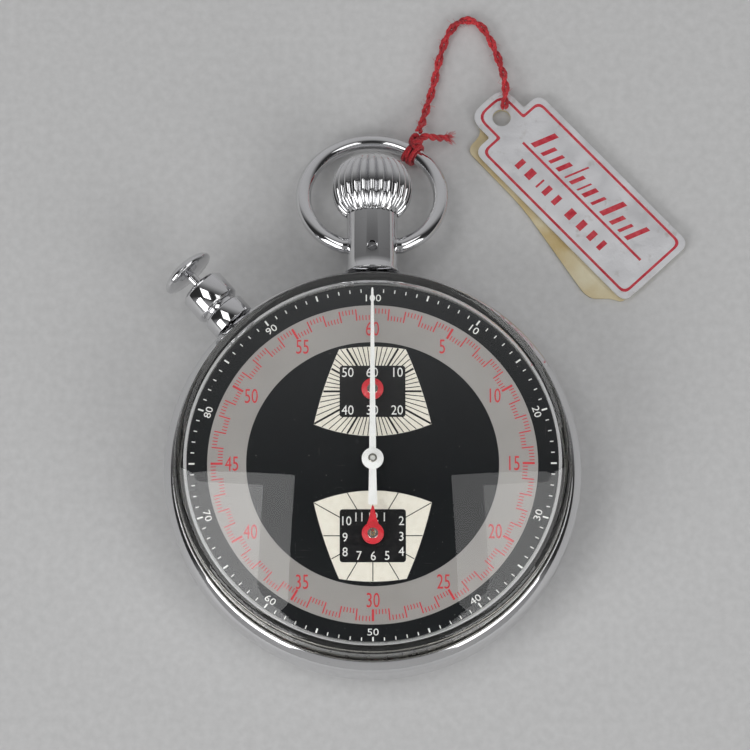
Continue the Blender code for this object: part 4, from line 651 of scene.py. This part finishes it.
def print_material(name, colour, faded, roughness):
    """Printing ink or lacquer, mottled and slightly uneven."""
    made, shader, tree, place = blank_material(name, colour, roughness, 0)
    mottle = from_noise(tree, place, 1400, 5)
    coloured(tree, shader, mottle, 0.35, 0.7, colour, faded)
    roughened(tree, shader, mottle, 0.3, 0.7, roughness * 0.85, roughness * 1.2)
    bumped(tree, shader, mottle, 0.08, 0.00004)
    return made


black_shine = 0.12
black_lacquer, shader, tree, place = blank_material("dial_black_lacquer", (0.012, 0.012, 0.013), 0.42, 0)
shader.inputs["Specular IOR Level"].default_value = black_shine
scratches, smudges = handled(tree, 1.3)
dust = from_noise(tree, place, 2400, 2)
both = combined(tree, "MAXIMUM", ranged(tree, dust, 0.755, 0.79, 0, 1),
                ranged(tree, scratches, 0, 1, 0, 0.12))
tree.links.new(mixed(tree, both, (0.006, 0.007, 0.008), (0.16, 0.16, 0.15)), shader.inputs["Base Color"])
roughened(tree, shader, smudges, 0, 1, 0.36, 0.5)
bumped(tree, shader, dust, 0.08, 0.00003)

silver_ring, shader, tree, place = blank_material("dial_silver_ring", (0.42, 0.40, 0.38), 0.42, 0.55)
grain = from_noise(tree, place, 3000, 4)
cloud = from_noise(tree, place, 130, 3)
coloured(tree, shader, cloud, 0.3, 0.7, (0.37, 0.355, 0.34), (0.33, 0.315, 0.30))
roughened(tree, shader, grain, 0.3, 0.7, 0.38, 0.52)
bumped(tree, shader, grain, 0.12, 0.00004)

white_ink = print_material("dial_white_ink", (0.80, 0.80, 0.78), (0.70, 0.70, 0.67), 0.45)
scale_red = print_material("dial_red_ink", (0.58, 0.028, 0.04), (0.48, 0.02, 0.03), 0.4)
cream_ink = print_material("dial_cream_ink", (0.80, 0.765, 0.67), (0.74, 0.70, 0.60), 0.5)
black_ink = print_material("dial_black_ink", (0.007, 0.007, 0.008), (0.012, 0.012, 0.012), 0.45)
black_ink.node_tree.nodes["Principled BSDF"].inputs["Specular IOR Level"].default_value = black_shine

plate = turned("dial_disc", [(0, dial_high), (24.46, dial_high), (24.5, dial_high - 0.05),
                             (24.5, dial_low), (0, dial_low)], black_lacquer, 0.02 * mm)
finished(plate, "case", "dial_black", "dial")
band = turned("seconds_track", [(16.5, dial_high + 0.02), (21.6, dial_high + 0.02), (21.6, dial_high),
                                (16.5, dial_high)], silver_ring, 0)
finished(band, "case", "dial_black")


def clock_spot(radius, degrees):
    """The point at a radius and at an angle clockwise from twelve."""
    return Vector((radius * math.sin(math.radians(degrees)), radius * math.cos(math.radians(degrees))))


def mark(work, inner_r, outer_r, width, degrees, low, about=(0, 0)):
    """Adds a printed stroke that points at the centre."""
    spot = clock_spot((inner_r + outer_r) / 2, degrees)
    bmesh.ops.create_cube(work, size=1, matrix=Matrix.Translation(
        (about[0] + spot.x, about[1] + spot.y, low + ink / 2))
        @ Matrix.Rotation(-math.radians(degrees), 4, "Z")
        @ Matrix.Diagonal((width, outer_r - inner_r, ink, 1)))


def figure_mesh(text):
    """The text as a flat solid, one unit thick."""
    curve = bpy.data.curves.new("figure", "FONT")
    curve.body = text
    curve.align_x = "CENTER"
    curve.extrude = 0.5
    curve.resolution_u = 3
    return mesh_of(curve)


zero = [vertex.co.copy() for vertex in figure_mesh("0").vertices]
zero_wide = max(co.x for co in zero) - min(co.x for co in zero)
zero_high = max(co.y for co in zero) - min(co.y for co in zero)
zero_middle = (max(co.y for co in zero) + min(co.y for co in zero)) / 2


def figures(work, text, at, height, digit_wide, low, degrees=0.0):
    """Adds printed figures of a height, each about digit_wide across."""
    mesh = figure_mesh(text)
    mesh.transform(Matrix.Translation((at[0], at[1], low + ink / 2))
                   @ Matrix.Rotation(-math.radians(degrees), 4, "Z")
                   @ Matrix.Diagonal((digit_wide / zero_wide, height / zero_high, ink, 1))
                   @ Matrix.Translation((0, -zero_middle, 0)))
    work.from_mesh(mesh)
    bpy.data.meshes.remove(mesh)


work = bmesh.new()
for i in range(100):
    bold = i % 5 == 0
    mark(work, (23.3 if bold else 23.4) * mm, (24.1 if bold else 23.9) * mm, (0.22 if bold else 0.13) * mm,
         3.6 * i, dial_top)
for i in range(1, 11):
    degrees = 36 * i
    figures(work, str(10 * i), clock_spot(22.62 * mm, degrees), 0.95 * mm, 0.7 * mm, dial_top,
            degrees if degrees <= 80 or degrees >= 280 else degrees + 180)
finished(linked("hundredths_scale", work, white_ink), "case", "white_paint")

work = bmesh.new()
for i in range(60):
    bold = i % 5 == 0
    mark(work, 19.57 * mm, 21.15 * mm, (0.3 if bold else 0.16) * mm, 6 * i, dial_top + ink)
    inner_r, outer_r = ((20.47, 21.15), (19.57, 20.24))[i % 2]
    for fifth in range(1, 5):
        mark(work, inner_r * mm, outer_r * mm, 0.12 * mm, 6 * (i + fifth / 5), dial_top + ink)
for i in range(1, 13):
    figures(work, str(5 * i), clock_spot(18.35 * mm, 30 * i), 1.95 * mm, 0.82 * mm, dial_top + ink)
finished(linked("seconds_scale", work, scale_red), "case", "red_paint")

# ---------------------------------------------------------------- small dials
# Two cream fields, printed in mirror image: sixty minutes above and twelve hours below. Each
# has a black panel with white figures, and fine rays from the panel to the field's edge.

small_y = 9.75 * mm


def bowed(first, last, bulge):
    """Points along a shallow arc that stands out from the line by the bulge, less its last."""
    steps = 10
    first, last = Vector(first), Vector(last)
    normal = Vector(((last - first).y, -(last - first).x)).normalized()
    return [first.lerp(last, i / steps) + normal * bulge * (1 - (2 * i / steps - 1) ** 2)
            for i in range(steps)]


def field_outline(flip):
    """The cream field: wide and bowed towards the middle of the dial, narrow at the far end."""
    corners = [(-7.68, 5.28), (7.68, 5.28), (4.38, 15.5), (-4.38, 15.5)]
    bulges = [1.6, 0.25, 0.38, 0.25]
    outline = []
    for i, bulge in enumerate(bulges):
        outline += bowed(corners[i], corners[(i + 1) % 4], bulge)
    return [Vector((point.x, point.y * flip)) * mm for point in outline]


def inside(point, outline):
    """Whether the point lies inside the outline."""
    crossed = False
    for a, b in zip(outline, outline[1:] + outline[:1]):
        if (a.y > point.y) != (b.y > point.y) and point.x < a.x + (point.y - a.y) / (b.y - a.y) * (b.x - a.x):
            crossed = not crossed
    return crossed


def ray_ends(about, degrees, half_wide, half_high, outline):
    """Where a ray leaves the panel and where it reaches the field's edge."""
    way = clock_spot(1, degrees)
    tiny, step, longest = 1e-6, 0.05 * mm, 12 * mm
    start = min(half_wide / max(abs(way.x), tiny), half_high / max(abs(way.y), tiny))
    end = start
    while inside(about + way * (end + step), outline) and end < longest:
        end += step
    return start, end


panels = bmesh.new()
fields = bmesh.new()
rays_ink = bmesh.new()
small_figures = bmesh.new()
half_wide = 4.3 * mm
for flip, count, half_high in ((1, 60, 3.5 * mm), (-1, 12, 3.55 * mm)):
    about = Vector((0, flip * small_y))
    outline = field_outline(flip)
    sheet_piece(fields, [outline], dial_top, ink, Matrix.Identity(4))
    panel = rounded([(-half_wide, about.y - half_high), (half_wide, about.y - half_high),
                     (half_wide, about.y + half_high), (-half_wide, about.y + half_high)], 0.45 * mm)
    sheet_piece(panels, [panel], dial_top + ink, ink, Matrix.Identity(4))
    for i in range(count):
        degrees = 360 * i / count
        start, end = ray_ends(about, degrees, half_wide, half_high, outline)
        bold = count == 60 and i % 5 == 0
        if end - start > 0.1 * mm:
            mark(rays_ink, start - 0.05 * mm, end - 0.02 * mm, (0.26 if bold else 0.115) * mm, degrees,
                 dial_top + ink, about)
for text, x, y in (("50", -3.25, 12.35), ("60", -0.05, 12.35), ("10", 3.2, 12.35), ("40", -3.25, 7.2),
                   ("30", -0.05, 7.2), ("20", 3.2, 7.2)):
    figures(small_figures, text, (x * mm, y * mm), 1.28 * mm, 0.72 * mm, dial_top + 2 * ink)
for text, x, y in (("12", 0.0, -7.24), ("1", 1.5, -7.24), ("2", 3.72, -7.75), ("3", 3.72, -9.84),
                   ("4", 3.72, -11.85), ("5", 1.87, -12.4), ("6", 0.05, -12.45), ("7", -1.8, -12.4),
                   ("8", -3.6, -11.9), ("9", -3.6, -9.95), ("10", -3.5, -7.75), ("11", -1.8, -7.24)):
    figures(small_figures, text, (x * mm, y * mm), 1.2 * mm, 0.68 * mm, dial_top + 2 * ink)
finished(linked("small_dial_fields", fields, cream_ink), "case", "white_paint")
finished(linked("small_dial_panels", panels, black_ink), "case", "dial_black")
finished(linked("small_dial_rays", rays_ink, black_ink), "case", "dial_black")
finished(linked("small_dial_figures", small_figures, white_ink), "case", "white_paint")

# ---------------------------------------------------------------- hands
# The seconds hand is stamped steel, lacquered white, with its tip bent down to the scale. The
# small hands are red, and each is pressed on a bright steel arbor whose end shows.

hand_white = print_material("hand_white_lacquer", (0.83, 0.83, 0.82), (0.78, 0.78, 0.76), 0.3)
hand_red = print_material("hand_red_lacquer", (0.62, 0.022, 0.035), (0.55, 0.018, 0.03), 0.28)
arbor_steel = worn_metal("arbor_steel", (0.58, 0.56, 0.52), (0.40, 0.38, 0.34), 0.2, 0.4, 2.0)


def blade(work, spine, low, thick):
    """Adds a flat blade whose half width is given along Y, each with its drop below the hub."""
    rows = [[work.verts.new((side * half * mm, y * mm, low - drop * mm + level)) for side in (-1, 1)
             for level in (0, thick)] for y, half, drop in spine]
    for first, second in zip(rows, rows[1:]):
        for a, b in ((0, 1), (1, 3), (3, 2), (2, 0)):
            work.faces.new((first[a], first[b], second[b], second[a]))
    work.faces.new((rows[0][0], rows[0][1], rows[0][3], rows[0][2]))
    work.faces.new((rows[-1][0], rows[-1][2], rows[-1][3], rows[-1][1]))
    bmesh.ops.recalc_face_normals(work, faces=work.faces)


def steps_down(work, section, at):
    """Adds a small turned boss to the bmesh."""
    ring = spun(section, 48)
    bmesh.ops.recalc_face_normals(ring, faces=ring.faces)
    bmesh.ops.transform(ring, matrix=Matrix.Translation((at[0], at[1], 0)), verts=ring.verts)
    shape = bpy.data.meshes.new("boss")
    ring.to_mesh(shape)
    ring.free()
    work.from_mesh(shape)
    bpy.data.meshes.remove(shape)


work = bmesh.new()
hand_length, tip_start, tip_drop = 23.8, 23.4, 1.2
spine = [(-6.2, 0.52, 0), (-6.05, 0.58, 0), (-1.5, 0.47, 0), (0, 0.5, 0)]
spine += [(tip_start * i / 24, 0.46 - 0.31 * i / 24, tip_drop * (tip_start * i / 24 / hand_length) ** 2)
          for i in range(1, 25)]
spine += [(23.65, 0.1, 1.19), (hand_length, 0.03, tip_drop)]
blade(work, spine, 13.8 * mm, 0.15 * mm)
steps_down(work, [(0, 14.06), (1.3, 14.06), (1.42, 14.0), (1.42, 13.75), (0.62, 13.75),
                  (0.62, 13.3), (0, 13.3)], (0, 0))
finished(linked("long_hand", work, hand_white), "seconds", "white_paint", "seconds_hand")
work = bmesh.new()
steps_down(work, [(0, 13.9), (0.3, 13.9), (0.36, 14.34), (0.52, 14.34), (0.58, 14.28),
                  (0.58, 14.0), (0, 14.0)], (0, 0))
finished(linked("long_hand_pipe", work, arbor_steel), "seconds", "steel")

for name, body, spot, length, base, replaced in (
        ("minutes_pointer", "minutes", small_y, 2.55, 0.62, "minute_hand"),
        ("hours_pointer", "hours", -small_y, 3.7, 1.05, "hour_hand")):
    work = bmesh.new()
    blade(work, [(0.4, base, 0), (length * 0.5, base * 0.52, 0), (length - 0.1, 0.13, 0), (length, 0.03, 0)],
          12.72 * mm, 0.15 * mm)
    bmesh.ops.translate(work, verts=work.verts, vec=(0, spot, 0))
    steps_down(work, [(0.5, 12.96), (1.33, 12.96), (1.43, 12.9), (1.43, 12.66), (0.5, 12.66)], (0, spot))
    finished(linked(name, work, hand_red), body, "red_paint", replaced)
    work = bmesh.new()
    steps_down(work, [(0, 12.8), (0.16, 12.8), (0.18, 12.62), (0.4, 12.6), (0.46, 13.0), (0.66, 13.0),
                      (0.73, 12.94), (0.73, 12.56), (0, 12.56)], (0, spot))
    finished(linked(name + "_pin", work, arbor_steel), body, "steel")

# ---------------------------------------------------------------- pendant and its screw
# The pendant is a turned and chromed tube that stands on the band, with its foot flared to it.
# A small slotted screw in its top holds the stem.

case_r, screw_y = 27.6 * mm, 30.5 * mm
dark_steel = worn_metal("screw_steel", (0.30, 0.30, 0.31), (0.18, 0.18, 0.18), 0.25, 0.45, 2.0)


def bored(piece, cutters):
    """The piece with round holes: each is (radius, centre, direction, length)."""
    helpers = []
    for radius, at, towards, length in cutters:
        work = bmesh.new()
        turn = Vector((0, 0, 1)).rotation_difference(Vector(towards)).to_matrix().to_4x4()
        bmesh.ops.create_cone(work, cap_ends=True, segments=48, radius1=radius, radius2=radius, depth=length,
                              matrix=Matrix.Translation(at) @ turn)
        cutter = linked("cutter", work, chrome)
        helpers.append(cutter)
        hole = piece.modifiers.new("hole", "BOOLEAN")
        hole.operation = "DIFFERENCE"
        hole.solver = "EXACT"
        hole.object = cutter
    bpy.context.view_layer.update()
    mesh = bpy.data.meshes.new_from_object(piece.evaluated_get(bpy.context.evaluated_depsgraph_get()))
    piece.modifiers.clear()
    piece.data = mesh
    mesh.set_sharp_from_angle(angle=sharp_bend)
    for cutter in helpers:
        bpy.data.objects.remove(cutter, do_unlink=True)
    return piece


tube = turned("pendant_tube", [
    (2.2, 9.6), (3.2, 9.6), (3.4, 9.4), (3.4, 1.5), (3.43, 1.0),
    (3.5, 0.6), (3.62, 0.3), (3.7, 0.12), (3.7, 0), (1.0, 0),
    (1.0, -2.9), (0.65, -2.9), (0.65, 1.6), (2.2, 1.6)],
    chrome, 0.03 * mm, 96, (0, case_r, stem_z), (0, 1, 0))
bored(tube, [(0.74 * mm, (0, screw_y, stem_z + 3.2 * mm), (0, 0, 1), 1.1 * mm),
             (1.03 * mm, (3.2 * mm, bow_at.y, stem_z), (1, 0, 0), 1.4 * mm),
             (1.03 * mm, (-3.2 * mm, bow_at.y, stem_z), (1, 0, 0), 1.4 * mm)])
finished(tube, "case", "chrome", "pendant")

work = bmesh.new()
steps_down(work, [(0, 10.13), (0.24, 10.17), (0.56, 10.17), (0.64, 10.08), (0.64, 9.76), (0, 9.76)],
           (0, screw_y))
screw = bored(linked("stem_screw", work, dark_steel),
              [(0.1 * mm, (0, screw_y, 10.2 * mm), (0.9, 0.4, 0), 1.8 * mm)])
finished(screw, "case", "steel", "pendant_screw")

# ---------------------------------------------------------------- crown
# A turned brass ball, fluted for the fingers and chromed. It covers the pendant's end, and is
# turned to wind the watch and pressed to start and stop it.

crown_foot, crown_length, crown_r = 35.1 * mm, 8.8 * mm, 5.4 * mm
flutes, flute_depth = 26, 0.11
work = bmesh.new()
bmesh.ops.create_uvsphere(work, u_segments=flutes * 12, v_segments=56, radius=1)
for vertex in work.verts:
    x, y, z = vertex.co
    wide = math.hypot(x, y)
    if wide > 0.001:
        full = min(1.0, wide**0.62)
        wave = abs(math.sin(flutes / 2 * math.atan2(y, x)))
        fade = min(1.0, max(0.0, (wide - 0.22) / 0.25))
        r = full * crown_r * (1 - flute_depth * fade * (1 - wave) ** 1.6)
        x, y = x / wide * r, y / wide * r
    vertex.co = (x, y, z * crown_length / 2 + crown_length / 2)
bmesh.ops.transform(work, matrix=Matrix.Translation((0, crown_foot, stem_z))
                    @ Vector((0, 0, 1)).rotation_difference(Vector((0, 1, 0))).to_matrix().to_4x4(),
                    verts=work.verts)
ball = linked("crown_ball", work, chrome)
bored(ball, [(3.5 * mm, (0, crown_foot + 0.8 * mm, stem_z), (0, 1, 0), 5.6 * mm)])
finished(ball, "crown_and_stem", "chrome", "crown")

# ---------------------------------------------------------------- bow
# A ring of round wire, chromed, whose ends turn in and spring into holes in the pendant.

work = bmesh.new()
opening = math.acos((bow_reach - 0.3 * mm) / bow_r)
sweep = math.pi - opening
ring_path = [Vector((bow_r * math.sin(angle), bow_reach + bow_r * math.cos(angle), 0))
             for angle in (sweep * (2 * i / 150 - 1) for i in range(151))]
left_end = [Vector((-2.75 * mm, 0, 0)), Vector((-3.5 * mm, 0.02 * mm, 0)), Vector((-4.2 * mm, 0.16 * mm, 0))]
right_end = [Vector((-point.x, point.y, 0)) for point in left_end[::-1]]
bow_path = smooth_path(left_end + ring_path[6:-3:6] + right_end, 8)
bow_path = [bow_at + lean @ point for point in bow_path]
strands(work, [bow_path], wire_r, 28)
bmesh.ops.remove_doubles(work, verts=work.verts, dist=same_spot)
bmesh.ops.recalc_face_normals(work, faces=work.faces)
finished(linked("bow_ring", work, chrome), "bow_and_tag", "chrome", "bow")

# ---------------------------------------------------------------- side pusher
# A guide screwed into the band, with a collar, a groove and a barrel, and a mushroom-headed
# button on a thin shank. Pressed, it returns the hands to zero.

bearing = math.radians(41.6)
outwards = Vector((-math.sin(bearing), math.cos(bearing), 0))
guide = turned("pusher_guide", [
    (0.75, 7.0), (2.55, 7.0), (2.68, 6.95), (3.1, 6.54),
    (3.15, 6.42), (3.15, 3.48), (3.1, 3.36), (2.82, 3.1),
    (2.35, 3.1), (2.35, 2.5), (2.75, 2.5), (3.0, 2.32),
    (3.05, 2.2), (3.05, 0), (1.05, 0), (1.05, -2.9), (0.75, -2.9),
    (0.75, 1.4), (1.7, 1.4), (1.7, 6.0), (0.75, 6.0)],
    chrome, 0.04 * mm, 96, Vector((0, 0, stem_z)) + outwards * case_r, outwards)
finished(guide, "case", "chrome", "pusher_tube")
guide_length, neck = 7.0, 1.75
base = case_r / mm + guide_length + neck
button = turned("pusher_head", [
    (0, base + 2.0), (0.8, base + 1.98), (1.6, base + 1.89), (2.4, base + 1.73),
    (3.1, base + 1.47), (3.5, base + 1.2), (3.7, base + 0.95),
    (3.75, base + 0.72), (3.68, base + 0.5), (3.45, base + 0.36),
    (2.6, base + 0.3), (1.9, base + 0.14), (1.2, base + 0.04), (0.7, base),
    (0.7, 18.4), (0, 18.4)], chrome, 0.03 * mm, 96, (0, 0, stem_z), outwards)
finished(button, "pusher", "chrome", "pusher_button")

# ---------------------------------------------------------------- movement
# Everything behind the dial keeps its turned and cut shape: grained nickel plates, brass
# wheels, ground steel levers and screws, and blued springs.


def grained_metal(name, colour, dull, roughness, stretch, scale):
    """Metal with a grain along one way, as a plate or a wheel is finished on a stone."""
    made, shader, tree, place = blank_material(name, colour, roughness, 1)
    grain = from_noise(tree, place, scale, 5, stretch)
    coloured(tree, shader, grain, 0.3, 0.7, colour, dull)
    roughened(tree, shader, grain, 0.3, 0.7, roughness * 0.8, roughness * 1.4)
    bumped(tree, shader, grain, 0.15, 0.00003)
    return made


inner_finishes = {
    "nickel_brass": grained_metal("nickel_plate", (0.62, 0.60, 0.55), (0.50, 0.48, 0.43), 0.28,
                                  (1, 14, 1), 500),
    "brass": grained_metal("wheel_brass", (0.74, 0.54, 0.25), (0.60, 0.42, 0.18), 0.24, (6, 6, 1), 420),
    "steel": grained_metal("ground_steel", (0.55, 0.56, 0.58), (0.42, 0.43, 0.45), 0.22, (12, 1, 1), 600),
    "blue_steel": grained_metal("blued_spring", (0.05, 0.09, 0.32), (0.10, 0.06, 0.24), 0.18,
                                (1, 1, 10), 700),
    "chrome": chrome,
}
for part in frame["record"]["subparts"]:
    kept = frame["nodes"][part["node"]]
    if part["material_slot"] in inner_finishes:
        for slot in kept.material_slots:
            slot.material = inner_finishes[part["material_slot"]]
